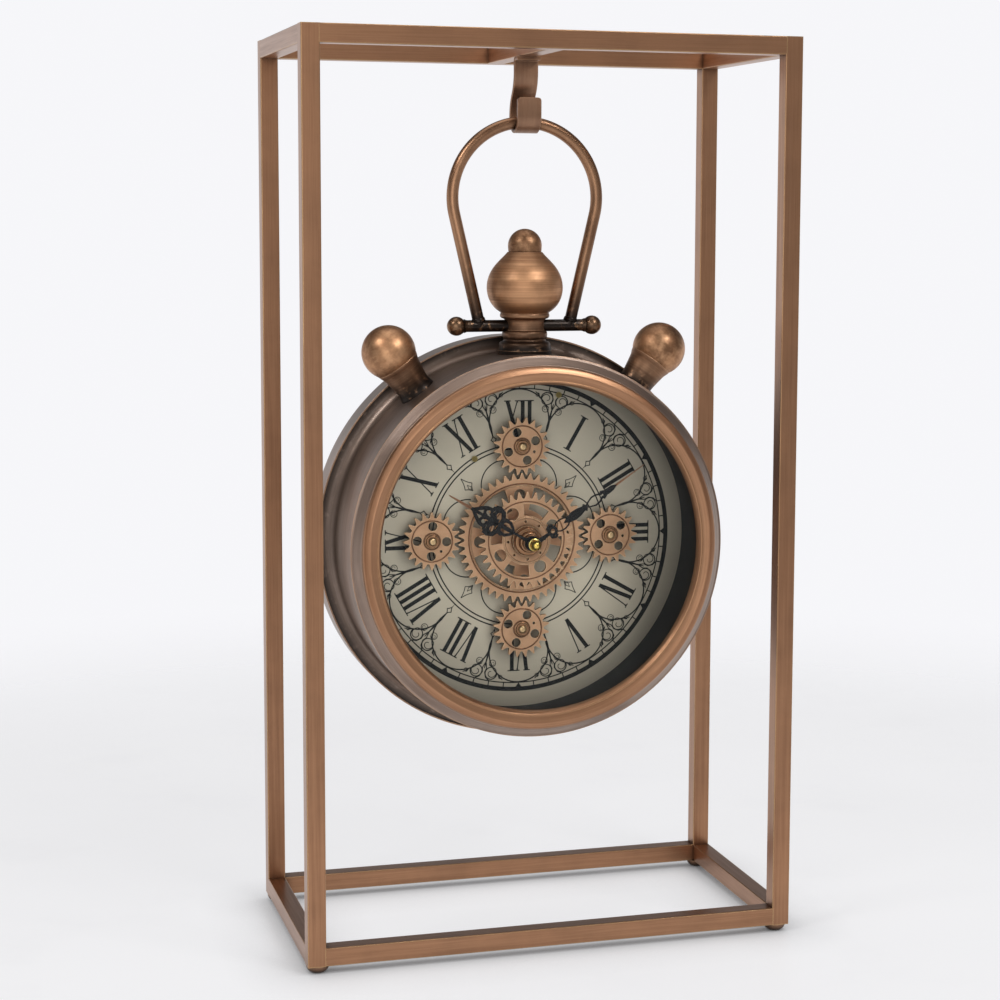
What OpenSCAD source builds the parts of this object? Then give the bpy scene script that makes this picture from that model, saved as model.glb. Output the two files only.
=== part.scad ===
// Skeleton clock hung from a hook in an open square-tube stand.
// Origin: bottom centre of the stand. +Z up, the dial faces -Y. Millimetres.

/* [Stand] */
// Width of the stand, outside to outside
stand_w = 330; // [320:1:360]
// Depth of the stand, outside to outside
stand_d = 170; // [160:1:200]
// Height of the stand with its feet
stand_h = 600; // [590:1:640]
// Side of the square tube
tube = 12; // [11:0.5:14]
// Wall of the square tube
tube_wall = 1; // [0.8:0.1:1.5]
// Height of the dome feet
foot_h = 5; // [4:0.5:5.5]
// Radius of the dome feet
foot_r = 7.5; // [6.5:0.1:8.5]

/* [Hook and bow] */
// Width of the hook strap
hook_w = 16.5; // [12:0.5:20]
// Thickness of the hook strap
hook_t = 2.5; // [2:0.1:3]
// Inside radius of the hook's bend
hook_r = 8.5; // [7.5:0.1:9.5]
// Radius of the bow wire
wire_r = 4; // [3.5:0.1:4.5]
// Radius of the bow's arch on its centreline
bow_r = 50; // [47:1:53]
// Half spread of the bow's feet on the cross rod
bow_foot_x = 31.3; // [29:0.1:34]
// Radius of the cross rod
rod_r = 4; // [3.5:0.1:4.5]
// Half spacing of the balls on the cross rod
rod_ball_x = 46.6; // [44:0.2:50]
// Radius of the balls on the cross rod
rod_ball_r = 6.4; // [5.5:0.1:7]

// Depth position of the hook, bow and crown, over the case's centre of mass
hang_y = -3.1; // [-6:0.1:0]

/* [Case] */
// Height of the dial centre above the surface
clock_z = 264; // [262:0.5:266]
// Outside radius of the drum
drum_r = 127.3; // [127:0.1:128]
// Wall of the drum
drum_wall = 1.5; // [1.2:0.1:1.8]
// Outside radius of the rear flange
flange_r = 138; // [137:0.1:139]
// Outside radius of the bezel
bezel_r = 121.2; // [120.8:0.1:121.6]
// Inside radius of the bezel
bezel_in_r = 108.9; // [107:0.1:111]
// Radius of the side knobs' balls
knob_r = 18; // [16:0.5:19]
// Angle of the side knobs from twelve o'clock
knob_angle = 36.2; // [33:0.2:40]
// Distance of the side knobs' balls from the dial centre
knob_dist = 159.8; // [158:0.2:162]

/* [Gears] */
// Teeth of the large ring gear
ring_teeth = 46; // [46:1:46]
// Teeth of each satellite gear
sat_teeth = 20; // [20:1:20]
// Teeth of the middle gear
mid_teeth = 34; // [28:1:40]
// Distance of the satellite gears from the dial centre
sat_dist = 63; // [62.8:0.1:63.2]
// Thickness of the ring and satellite gears
gear_t = 2.5; // [2:0.1:2.8]

/* [Hands] */
// Hour hand's angle clockwise from twelve
hour_angle = 301; // [0:1:359]
// Minute hand's angle clockwise from twelve
minute_angle = 56; // [0:1:359]
// Length of the hour hand from its arbor
hour_len = 67; // [60:1:72]
// Length of the minute hand from its arbor
minute_len = 93; // [85:1:100]

/* [Hidden] */
$fn = 96;
e = 0.01;         // overlap that keeps a cut clean

copper = "#8d6748";
gear_copper = "#c08a63";
brass = "#c9a544";
black = "#1b1c1f";
cream = "#a39c89";
steel = "#8f9194";

// stand
half_w = stand_w / 2;
half_d = stand_d / 2;
post_x = half_w - tube / 2;
post_y = half_d - tube / 2;
bottom_z = foot_h;
top_z = stand_h - tube;         // underside of the top rails and of the crossbar

// hook and bow, from the drum upwards
drum_top = clock_z + drum_r;
rod_z = drum_top + 18.2;
arch_z = rod_z + 85.5;          // centre of the bow's arch
bow_top = arch_z + bow_r;       // centreline of the wire where it hangs
hang_gap = 0.05;
// centre of the hook's bend: the arch rests on the strap's two edges
hook_c = arch_z + sqrt(pow(bow_r - wire_r, 2) - pow(hook_w / 2, 2)) - hang_gap + hook_r;
lip_z = bow_top + 16;           // top of the hook's front lip
// the bow's straight legs leave the cross rod and run tangent to the arch
leg_len = sqrt(pow(bow_foot_x, 2) + pow(arch_z - rod_z, 2) - pow(bow_r, 2));
leg_angle = asin(bow_r / norm([bow_foot_x, arch_z - rod_z])) - atan2(bow_foot_x, arch_z - rod_z);
half_sweep = 90 + leg_angle;    // of the arch, from its right end to its top

// crown, above the cross rod
neck_h = 8.6;
neck_top = rod_z + neck_h;
onion_h = 40.8;

// angle and distance from the dial centre of the two screws that show on the dial
screw_places = [[120, 63], [74, 101]];
screw_r = 1.2;

// depths in the case, front to rear along +Y
bezel_front = -53;
bezel_back = -49.2;
glass_front = -46.3;
glass_back = -43.8;
skirt_back = -43.6;
drum_front = -49;
shoulder_y = 20.5;
drum_back = 40;
dial_front = 10;
dial_back = 11.5;
cover_front = 30;
cover_back = 31.2;
flange_start = 12;              // where the drum starts to flare to the rear flange
flare = 7;                      // radius of the hollow that flares to the rear flange
skirt_r = 119.9;
liner_in_r = 118.5;
liner_out_r = 120.3;
glass_r = 116;
dial_r = drum_r - drum_wall - 0.2;
knob_y = -7;

// gears
gear_front = 2;
gear_back = gear_front + gear_t;
mid_front = -9.5;
mid_back = -7.5;
pitch = sat_dist / (ring_teeth + sat_teeth);      // half the module
ring_tip = pitch * ring_teeth + 0.9;
ring_root = ring_tip - 4.2;
sat_tip = pitch * sat_teeth + 0.9;
sat_root = sat_tip - 4;
ring_bore = 35.6;
spindle_r = 2;
run = 0.05;                     // radial clearance of a running fit
bushing_r = 4;
tube_r = 2.55;
shaft_r = 1.55;
hub_r = 9;
hour_front = -24.5;
minute_front = -29.5;
hand_t = 1;
// direction of each satellite gear from the dial centre, and the turn of its tooth ring and of its holes
sat_dir = [90, 0, 270, 180];
sat_phase = [9, 0, 9, 0];
sat_holes = [21, 39, 68, -3];

// back of the case
box_w = 56;
motor_z = clock_z - sat_dist;
cell_r = 7.15;
cell_l = 50;
cell_y = 23.8;
knob_off = 15;
switch_off = 16;
pillar_r = 112;

// points of an arc about [x, y]
function arc(x, y, r, a0, a1, n) =
    [for (i = [0:n]) let (a = a0 + (a1 - a0) * i / n) [x + r * cos(a), y + r * sin(a)]];

// outline of a gear with pointed teeth, one tooth along +X
function tooth(a, root, tip, root_half, tip_half) = [
    [root * cos(a - root_half), root * sin(a - root_half)],
    [tip * cos(a - tip_half), tip * sin(a - tip_half)],
    [tip * cos(a + tip_half), tip * sin(a + tip_half)],
    [root * cos(a + root_half), root * sin(a + root_half)]];
function gear(n, root, tip, root_share, tip_w) =
    [for (i = [0:n - 1]) each tooth(i * 360 / n, root, tip, 180 / n * root_share, atan(tip_w / 2 / tip))];

// a solid turned about the clock's axis from a profile of [radius, depth] points
module turned() {
    translate([0, 0, clock_z]) rotate([-90, 0, 0]) rotate_extrude() children();
}

// a flat part seen from the front, its rear face at y_back
module plate(y_back, thick) {
    translate([0, y_back, clock_z]) rotate([90, 0, 0]) linear_extrude(thick) children();
}

// a rod along +Y from y0 to y1 through [x, z] of the dial
module pin(r, y0, y1, x = 0, z = 0) {
    translate([x, y0, clock_z + z]) rotate([-90, 0, 0]) cylinder(r = r, h = y1 - y0);
}

module polar(angle, dist) {
    translate([dist * cos(angle), dist * sin(angle)]) children();
}

// the flare from the drum's side to the face of its rear flange
function drum_flare() = arc(drum_r + flare, flange_start, flare, 180, 90, 8);

// the drum's outside as a solid, which shapes the feet of the crown and of the side knobs
module drum_body() {
    turned() polygon(concat([[0, -60], [drum_r, -60]], drum_flare(), [[drum_r + flare, 50], [0, 50]]));
}

// ---- stand ----
module post(sx, sy) {
    color(copper) translate([sx * post_x, sy * post_y, bottom_z + tube])
        linear_extrude(top_z - bottom_z - tube) difference() {
            square(tube, center = true);
            square(tube - 2 * tube_wall, center = true);
        }
}

// a rail mitred at both ends; len is its outside length
module mitred_rail(len) {
    in = tube - tube_wall;
    difference() {
        linear_extrude(tube)
            polygon([[-len / 2, 0], [len / 2, 0], [len / 2 - tube, tube], [-len / 2 + tube, tube]]);
        translate([0, 0, tube_wall]) linear_extrude(tube - 2 * tube_wall)
            polygon([[-len / 2 - 2, tube_wall], [len / 2 + 2, tube_wall], [len / 2 + 2, in],
                [-len / 2 - 2, in]]);
    }
}

module rail_front(z) {
    color(copper) translate([0, -half_d, z]) mitred_rail(stand_w);
}

module rail_rear(z) {
    color(copper) translate([0, half_d, z]) rotate([0, 0, 180]) mitred_rail(stand_w);
}

module rail_left(z) {
    color(copper) translate([-half_w, 0, z]) rotate([0, 0, -90]) mitred_rail(stand_d);
}

module rail_right(z) {
    color(copper) translate([half_w, 0, z]) rotate([0, 0, 90]) mitred_rail(stand_d);
}

module crossbar() {
    color(copper) translate([0, half_d - tube, top_z]) rotate([90, 0, 0])
        linear_extrude(stand_d - 2 * tube) difference() {
            translate([-tube / 2, 0]) square(tube);
            translate([-tube / 2 + tube_wall, tube_wall]) square(tube - 2 * tube_wall);
        }
}

module feet() {
    color(copper) for (sx = [-1, 1], sy = [-1, 1])
        translate([sx * (half_w - foot_r), sy * (half_d - foot_r), 0]) rotate_extrude()
            polygon(concat([[0, 0]], arc(foot_r - foot_h, foot_h, foot_h, -90, 0, 10), [[0, foot_h]]));
}

// strap from a tab under the crossbar, down behind the wire, round under it and up to a lip in front
module hook() {
    sweep_r = (top_z - hook_c) / 2 + 4;       // two opposite bends make the strap's S
    offset_y = hook_r + hook_t;
    turn = acos(1 - offset_y / 2 / (sweep_r - hook_t / 2));
    rise = 2 * (sweep_r - hook_t / 2) * sin(turn);
    lap = 0.1;                                // degrees by which the two bends overlap
    color(copper) translate([-hook_w / 2, hang_y, 0]) rotate([90, 0, 90]) linear_extrude(hook_w) union() {
        difference() {
            translate([0, hook_c]) circle(r = hook_r + hook_t);
            translate([0, hook_c]) circle(r = hook_r);
            translate([-30, hook_c + e]) square([60, 30]);
        }
        translate([-hook_r - hook_t, hook_c - e]) square([hook_t, lip_z - hook_c]);
        translate([hook_r + hook_t - sweep_r, hook_c]) bend(sweep_r, 0, turn + lap);
        translate([hook_r - offset_y + sweep_r, hook_c + rise]) bend(sweep_r, 180, 180 + turn);
        translate([hook_r - offset_y, hook_c + rise - e]) square([hook_t, top_z - hook_c - rise - 1]);
        translate([hook_r - offset_y - 7, top_z - hook_t]) square([hook_t + 7, hook_t]);
    }
}

// a strip of the strap bent to radius r between two angles
module bend(r, a0, a1) {
    polygon(concat(arc(0, 0, r, a0, a1, 10), arc(0, 0, r - hook_t, a1, a0, 10)));
}

// ---- bow ----
// a stretch of the bow's arch, from one angle above its right end over the given sweep
module arch_part(from, sweep) {
    translate([0, 0, arch_z]) rotate([90, 0, 0]) rotate(from - leg_angle)
        rotate_extrude(angle = sweep) translate([bow_r, 0]) circle(r = wire_r);
}

// one leg of the bow with its share of the arch, down to the cross rod
module bow_side() {
    difference() {
        union() {
            arch_part(0, half_sweep - 1);
            translate([0, 0, arch_z]) rotate([90, 0, 0]) rotate(-leg_angle)
                translate([bow_r, e, 0]) rotate([90, 0, 0]) cylinder(r = wire_r, h = leg_len + e);
        }
        translate([0, 0, rod_z]) rotate([0, 90, 0]) cylinder(r = rod_r, h = 60);
        translate([0, -10, rod_z - 20]) cube([60, 20, 20]);
    }
}

module bow() {
    color(copper) translate([0, hang_y, 0]) {
        bow_side();
        arch_part(half_sweep - 1 - e, 2 + 2 * e);
        mirror([1, 0, 0]) bow_side();
    }
}

module cross_rod() {
    color(copper) translate([-rod_ball_x, hang_y, rod_z]) rotate([0, 90, 0])
        cylinder(r = rod_r, h = 2 * rod_ball_x);
}

// a ball bored to its centre for the rod's end
module rod_ball(s) {
    color(copper) translate([s * rod_ball_x, hang_y, rod_z]) rotate([0, -s * 90, 0]) rotate_extrude()
        difference() {
            intersection() {
                circle(r = rod_ball_r);
                translate([0, -rod_ball_r]) square([rod_ball_r, 2 * rod_ball_r]);
            }
            square([rod_r, rod_ball_r]);
        }
}

// ---- case ----
module case_drum() {
    w = drum_wall;
    nose = 5.6;                 // width and depth of the chamfer at the front
    in = w * tan(22.5);         // how far the wall's inner corners lie from the outer ones
    color(copper) turned() polygon(concat(
        [[skirt_r + 0.1, drum_front], [drum_r - nose, drum_front], [drum_r, drum_front + nose]],
        drum_flare(),
        arc(flange_r - 2, flange_start + flare + 2, 2, -90, 0, 4),
        [[flange_r, drum_back - 1], [flange_r - 1, drum_back], [flange_r - w, drum_back],
         [flange_r - w, shoulder_y + w], [drum_r - w, shoulder_y + w],
         [drum_r - w, drum_front + nose + in], [drum_r - nose - in, drum_front + w],
         [skirt_r + 0.1, drum_front + w]]));
}

module front_bezel() {
    mid_r = (bezel_r + bezel_in_r) / 2;
    half = (bezel_r - bezel_in_r) / 2;
    crown = bezel_back - 1.4 - bezel_front;
    sag_r = (half * half + crown * crown) / 2 / crown;
    open = asin(half / sag_r);
    color(copper) turned() polygon(concat(
        [[skirt_r, bezel_back], [bezel_r, bezel_back]],
        arc(mid_r, bezel_front + sag_r, sag_r, -90 + open, -90 - open, 12),
        [[bezel_in_r, glass_front], [glass_r + 0.2, glass_front], [glass_r + 0.2, skirt_back],
         [skirt_r, skirt_back]]));
}

module glass() {
    color("#cfe3e6", 0.35) pin(glass_r, glass_front, glass_back);
}

module dial_liner() {
    color(black) turned() polygon([[liner_in_r, skirt_back], [liner_out_r, skirt_back],
        [liner_out_r, dial_front], [liner_in_r, dial_front]]);
}

module dial() {
    color(cream) plate(dial_back, dial_back - dial_front) difference() {
        circle(r = dial_r);
        circle(r = bushing_r + 0.1);
        polar(sat_dir[2], sat_dist) circle(r = spindle_r + 0.4);
        for (p = screw_places) polar(p[0], p[1]) circle(r = screw_r);
    }
}

module dial_screws() {
    color(brass) for (p = screw_places) {
        x = p[1] * cos(p[0]);
        z = p[1] * sin(p[0]);
        pin(2, dial_front - 1.2, dial_front, x, z);
        pin(screw_r, dial_front - e, dial_back + 4, x, z);
    }
}

// ---- crown ----
module crown_neck() {
    color(copper) difference() {
        translate([0, hang_y, rod_z]) rotate_extrude() polygon(concat(
            [[0, -24], [18, -24], [18, -14.5]],
            arc(15.6, -12.4, 2, -50, 80, 5),
            arc(13.5, -5.6, 2.2, -80, 70, 5),
            [[13.2, -2.6], [13.2, 6.5], [14.8, 7.3], [14.8, neck_h], [0, neck_h]]));
        translate([-40, hang_y, rod_z]) rotate([0, 90, 0]) cylinder(r = rod_r + run, h = 80);
        drum_body();
    }
}

module crown_onion() {
    // a ball drawn up into a short neck
    color(copper) translate([0, hang_y, neck_top]) rotate_extrude() polygon(concat(
        [[0, 0], [15.6, 0], [17.2, 1.4]],
        arc(1.3, 18, 24.5, -40, 55, 18),
        [[11.7, onion_h], [0, onion_h]]));
}

module crown_ball() {
    color(copper) difference() {
        translate([0, hang_y, neck_top + onion_h + 3.8]) sphere(r = 11.7);
        translate([-20, -20, neck_top + onion_h - 20]) cube([40, 40, 20]);
    }
}

// ---- side knobs ----
module on_knob(s) {
    translate([0, knob_y, clock_z]) rotate([0, s * knob_angle, 0]) children();
}

module knob_stem(s) {
    seat = knob_dist - knob_r;       // nearest point of the ball to the dial centre
    color(copper) difference() {
        on_knob(s) rotate_extrude() polygon(concat(
            [[0, drum_r - 8], [13.2, drum_r - 8], [13.2, drum_r + 1]],
            arc(24.8, drum_r + 10, 13.6, 205, 165, 8),
            [[15.2, seat + 8.2], [0, seat + 8.2]]));
        on_knob(s) translate([0, 0, knob_dist]) sphere(r = knob_r);
        drum_body();
    }
}

module knob_ball(s) {
    color(copper) on_knob(s) translate([0, 0, knob_dist]) sphere(r = knob_r);
}

// ---- back of the case ----
module rear_cover() {
    rim = flange_r - drum_wall - 0.2;
    color(copper) difference() {
        turned() polygon([[0, cover_front], [rim - 1.3, cover_front], [rim - 1.3, shoulder_y + drum_wall],
            [rim, shoulder_y + drum_wall], [rim, cover_back], [0, cover_back]]);
        for (z = [clock_z, motor_z])
            translate([-box_w / 2 - 0.5, cover_front - 1, z - box_w / 2 - 0.5])
                cube([box_w + 1, 4, box_w + 1]);
        for (a = [45:90:359])
            pin(1.5, cover_front - 1, cover_back + 1, pillar_r * cos(a), pillar_r * sin(a));
    }
}

module cover_pillars() {
    color(steel) for (a = [45:90:359]) difference() {
        pin(4, dial_back, cover_front, pillar_r * cos(a), pillar_r * sin(a));
        pin(1.5, cover_front - 8, cover_front + 1, pillar_r * cos(a), pillar_r * sin(a));
    }
}

module cover_screws() {
    color(steel) for (a = [45:90:359]) {
        x = pillar_r * cos(a);
        z = pillar_r * sin(a);
        pin(1.5, cover_front - 7, cover_back + e, x, z);
        difference() {
            pin(3.2, cover_back, cover_back + 2, x, z);
            translate([x - 4, cover_back + 1.2, clock_z + z - 0.4]) cube([8, 2, 0.8]);
        }
    }
}

// a plastic box whose rear face is flush with the cover, with a bay for one cell
module box_with_bay(z) {
    difference() {
        translate([-box_w / 2, dial_back, z - box_w / 2]) cube([box_w, cover_back - dial_back, box_w]);
        translate([-cell_l / 2 - 1, cell_y - cell_r - 0.25, z - box_w / 2 + 2])
            cube([cell_l + 2, 30, 2 * cell_r + 0.5]);
    }
}

module cell(z) {
    bay_z = z - box_w / 2 + 2.25 + cell_r;
    color("#3c6e57") translate([-cell_l / 2, cell_y, bay_z]) rotate([0, 90, 0]) {
        cylinder(r = cell_r, h = cell_l - 1.2);
        cylinder(r = 2.7, h = cell_l);
    }
}

module movement_case() {
    color(black) difference() {
        box_with_bay(clock_z);
        pin(tube_r + 0.15, dial_back - 1, dial_back + 4);
        pin(1.55, cover_back - 5, cover_back + 1, 0, knob_off);
    }
}

module motor_case() {
    color(black) difference() {
        box_with_bay(motor_z);
        pin(spindle_r + run, dial_back - 1, dial_back + 3.6, 0, -sat_dist);
        translate([-5.5, cover_back - 3, motor_z + switch_off - 2.6]) cube([11, 4, 5.2]);
    }
}

module movement_battery() {
    cell(clock_z);
}

module motor_battery() {
    cell(motor_z);
}

module power_switch() {
    color("#b8b8b4") translate([-5, cover_back - 2.8, motor_z + switch_off - 2.4]) {
        cube([6, 2.4, 4.8]);
        translate([1.5, 2.4 - e, 0.6]) cube([3, 2.4, 3.6]);
    }
}

module set_knob() {
    color(black) {
        plate(cover_back + 5.5, 5) translate([0, knob_off]) polygon(gear(24, 6.7, 7.2, 0.6, 0.8));
        pin(1.5, cover_back - 4.5, cover_back + 1, 0, knob_off);
    }
}

// ---- centre of the dial ----
module movement_bushing() {
    color(brass) difference() {
        pin(bushing_r, -22.5, dial_back);
        pin(tube_r + run, -23, dial_back + 1);
    }
}

module dial_nut() {
    color(brass) difference() {
        plate(dial_front, 3.4) circle(r = 8, $fn = 6);
        pin(bushing_r, 0, dial_front + 1);
    }
}

module hub_collar() {
    color(gear_copper) difference() {
        turned() polygon([[0, -12], [9.6, -12], [9.6, -15], [7, -15.6], [7, -19], [5.6, -19.4],
            [5.6, -22.5], [0, -22.5]]);
        pin(bushing_r, -23, 0);
    }
}

module hour_tube() {
    color(black) difference() {
        pin(tube_r, -25.5, dial_back + 3);
        pin(shaft_r + run, -26, dial_back + 4);
    }
}

module minute_shaft() {
    color(steel) pin(shaft_r, -33, dial_back + 3);
}

// a pierced hand pointing up: hub ring, openwork body and needle
module hand_shape(reach, start, body_len, body_w, bore) {
    half = [[1.1, bore + 1], [1.1, start], [body_w / 2, start + body_len * 0.3],
        [body_w * 0.4, start + body_len * 0.5], [1.2, start + body_len], [0.3, reach]];
    mirrored = [for (i = [len(half) - 1:-1:0]) [-half[i][0], half[i][1]]];
    difference() {
        union() {
            circle(r = bore + 2.6);
            polygon(concat(half, mirrored));
        }
        circle(r = bore);
        for (s = [-1, 1])
            translate([s * body_w * 0.22, start + body_len * 0.34]) circle(r = body_w * 0.13);
    }
}

module hour_hand() {
    color(black) plate(hour_front + hand_t, hand_t) rotate(-hour_angle)
        hand_shape(hour_len, 14, 34, 17, tube_r);
}

module minute_hand() {
    color(black) plate(minute_front + hand_t, hand_t) rotate(-minute_angle)
        hand_shape(minute_len, 22, 38, 8, shaft_r);
}

module cap_nut() {
    color(brass) difference() {
        turned() polygon(concat([[0, minute_front], [4.2, minute_front], [4.2, minute_front - 1.4]],
            arc(0, minute_front - 3.2, 3.8, 0, -90, 8)));
        pin(shaft_r, -33, -20);
    }
}

// ---- gears ----
module arc_slot(r0, r1, mid, span) {
    polygon(concat(arc(0, 0, r1, mid - span / 2, mid + span / 2, 12),
        arc(0, 0, r0, mid + span / 2, mid - span / 2, 12)));
}

module gear_hub() {
    color(gear_copper) difference() {
        turned() polygon([[0, 6.2], [14, 6.2], [14, gear_back], [hub_r, gear_back], [hub_r, mid_front],
            [10.6, mid_front], [10.6, -11.5], [0, -11.5]]);
        pin(bushing_r + run, -12, 7);
    }
}

module ring_gear() {
    color(gear_copper) plate(gear_back, gear_t) difference() {
        rotate(90) polygon(gear(ring_teeth, ring_root, ring_tip, 0.78, 1));
        circle(r = hub_r);
        for (a = [0:90:359]) {
            arc_slot(20, ring_bore, a + 48, 56);
            polar(a + 3, 29.5) circle(r = 4.2);
        }
    }
    color(gear_copper)
        turned() polygon([[36.8, gear_front + e], [38.2, gear_front + e], [38, gear_front - 0.5],
            [37, gear_front - 0.5]]);
}

module mid_gear() {
    color(gear_copper) {
        plate(mid_back, mid_back - mid_front) difference() {
            rotate(-6.7 + 90 + 180 / mid_teeth) polygon(gear(mid_teeth, 28.8, 33.3, 0.76, 1));
            circle(r = hub_r);
            for (a = [0:90:359]) {
                arc_slot(16.9, 25, a + 73, 44);
                polar(a + 28, 20.6) circle(r = 4.2);
            }
            for (a = [3:45:359]) polar(a, 12.9) circle(r = 0.9);
        }
        turned() polygon([[26, mid_front + e], [27.2, mid_front + e], [27, mid_front - 0.5],
            [26.2, mid_front - 0.5]]);
    }
}

module sat_gear(i, bore) {
    x = sat_dist * cos(sat_dir[i]);
    z = sat_dist * sin(sat_dir[i]);
    color(gear_copper) difference() {
        union() {
            plate(gear_back, gear_t) translate([x, z]) difference() {
                rotate(sat_phase[i]) polygon(gear(sat_teeth, sat_root, sat_tip, 0.78, 1));
                for (a = [0:90:359]) polar(a + sat_holes[i], 10.2) circle(r = 3.1);
                polar(sat_holes[i] - 45, 9.4) circle(r = 0.9);
            }
            pin(4.8, gear_front - 1.8, gear_front + e, x, z);
            translate([x, 0, z]) turned() polygon([[13.6, gear_front + e], [14.4, gear_front + e],
                [14.3, gear_front - 0.4], [13.7, gear_front - 0.4]]);
        }
        pin(bore, gear_front - 3, gear_back + 1, x, z);
    }
}

// fixed spindle of a satellite gear, with a foot on the dial and a riveted head in front
module gear_posts() {
    color(brass) for (i = [0, 1, 3]) {
        x = sat_dist * cos(sat_dir[i]);
        z = sat_dist * sin(sat_dir[i]);
        pin(4, gear_back + 0.4, dial_front, x, z);
        pin(spindle_r, gear_front - 3, gear_back + 1, x, z);
        pin(2.7, gear_front - 3.6, gear_front - 2.2, x, z);
    }
}

// the motor's shaft, which carries the bottom satellite gear
module drive_spindle() {
    color(brass) {
        pin(spindle_r, gear_front - 3, dial_back + 3.4, 0, -sat_dist);
        pin(2.7, gear_front - 3.6, gear_front - 2.2, 0, -sat_dist);
    }
}

post(-1, -1);  // post_front_left
post(1, -1);  // post_front_right
post(-1, 1);  // post_rear_left
post(1, 1);  // post_rear_right
rail_front(top_z);  // top_rail_front
rail_rear(top_z);  // top_rail_rear
rail_left(top_z);  // top_rail_left
rail_right(top_z);  // top_rail_right
rail_front(bottom_z);  // bottom_rail_front
rail_rear(bottom_z);  // bottom_rail_rear
rail_left(bottom_z);  // bottom_rail_left
rail_right(bottom_z);  // bottom_rail_right
crossbar();
hook();
feet();
bow();
cross_rod();
rod_ball(-1);  // rod_ball_left
rod_ball(1);  // rod_ball_right
case_drum();
front_bezel();
glass();
dial_liner();
dial();
dial_screws();
crown_neck();
crown_onion();
crown_ball();
knob_stem(-1);  // knob_stem_left
knob_stem(1);  // knob_stem_right
knob_ball(-1);  // knob_ball_left
knob_ball(1);  // knob_ball_right
rear_cover();
cover_pillars();
cover_screws();
movement_case();
movement_bushing();
dial_nut();
hub_collar();
movement_battery();
motor_case();
motor_battery();
power_switch();
set_knob();
gear_posts();
hour_tube();
hour_hand();
minute_shaft();
minute_hand();
cap_nut();
gear_hub();
ring_gear();
mid_gear();
sat_gear(0, spindle_r + run);  // sat_gear_top
sat_gear(1, spindle_r + run);  // sat_gear_right
sat_gear(2, spindle_r);  // sat_gear_bottom
sat_gear(3, spindle_r + run);  // sat_gear_left
drive_spindle();
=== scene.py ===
import math

import bmesh
import bpy
from mathutils import Matrix, Vector


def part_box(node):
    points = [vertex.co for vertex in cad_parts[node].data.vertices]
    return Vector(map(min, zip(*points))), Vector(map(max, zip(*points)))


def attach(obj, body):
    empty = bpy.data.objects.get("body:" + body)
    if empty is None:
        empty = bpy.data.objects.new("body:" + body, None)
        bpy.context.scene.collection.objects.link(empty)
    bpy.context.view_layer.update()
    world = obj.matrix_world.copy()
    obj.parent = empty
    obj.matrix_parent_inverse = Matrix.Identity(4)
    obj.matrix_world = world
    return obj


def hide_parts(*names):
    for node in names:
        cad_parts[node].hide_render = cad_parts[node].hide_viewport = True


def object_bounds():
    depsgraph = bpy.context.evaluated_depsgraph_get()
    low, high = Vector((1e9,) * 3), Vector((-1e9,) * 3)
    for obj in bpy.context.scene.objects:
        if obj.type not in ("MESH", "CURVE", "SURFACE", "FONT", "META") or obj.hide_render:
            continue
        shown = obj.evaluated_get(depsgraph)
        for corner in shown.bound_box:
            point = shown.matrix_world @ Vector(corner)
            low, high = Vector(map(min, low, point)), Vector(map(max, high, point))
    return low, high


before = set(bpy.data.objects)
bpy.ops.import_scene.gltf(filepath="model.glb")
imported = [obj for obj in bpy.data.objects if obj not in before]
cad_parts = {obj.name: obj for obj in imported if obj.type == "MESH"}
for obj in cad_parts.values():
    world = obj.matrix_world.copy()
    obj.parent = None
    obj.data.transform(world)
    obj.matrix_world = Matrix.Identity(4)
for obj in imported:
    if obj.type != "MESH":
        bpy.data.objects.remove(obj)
CAD_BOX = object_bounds()

# Sizes in this script are millimetres until a mesh is made.
MM = 0.001
STEPS = 180                       # faces round a large turned piece


def box_mm(node):
    low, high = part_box(node)
    return low / MM, high / MM


def centre(node):
    low, high = box_mm(node)
    return (low + high) / 2


# ---- places taken from the frame ----
CLOCK = centre("case_drum")
AXIS = Vector((CLOCK.x, 0, CLOCK.z))          # the clock's axis, where it crosses y = 0
FLANGE_R = (box_mm("case_drum")[1].x - box_mm("case_drum")[0].x) / 2
DIAL_FRONT = box_mm("dial")[0].y
DRUM_WALL = 1.5
DIAL_GAP = 0.2                                # between the dial and the drum's bore
DRUM_R = box_mm("dial")[1].x + DIAL_GAP + DRUM_WALL
ROD = centre("cross_rod")
TUBE = box_mm("post_front_left")[1].x - box_mm("post_front_left")[0].x

FACING = Matrix.Rotation(math.radians(90), 4, "X")      # local Z towards the viewer, -Y
TURNED = Matrix.Rotation(math.radians(-90), 4, "X")     # local Z to the rear, +Y


def at(x, y, z):
    return Matrix.Translation((x, y, z))


ON_AXIS = at(AXIS.x, 0, AXIS.z) @ TURNED      # heights are depths along +Y
FACE_ON = at(AXIS.x, 0, AXIS.z) @ FACING      # heights are distances towards the viewer, -Y


SIDES = ((-1, "left"), (1, "right"))


# ---- mesh making ----
def arc(x, y, r, start, end, n=12):
    """Points of an arc about (x, y), angles in degrees."""
    turn = [math.radians(start + (end - start) * i / n) for i in range(n + 1)]
    return [(x + r * math.cos(a), y + r * math.sin(a)) for a in turn]


def shifted(x, y, points):
    """Points given from (x, y). A third value, a corner's radius, stays as it is."""
    return [(x + p[0], y + p[1], *p[2:]) for p in points]


def mirrored(points):
    return [(-x, y) for x, y in points]


def distances(points):
    """How far along the line each of its points lies."""
    out = [0.0]
    for a, b in zip(points, points[1:]):
        out.append(out[-1] + math.dist(a, b))
    return out


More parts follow.
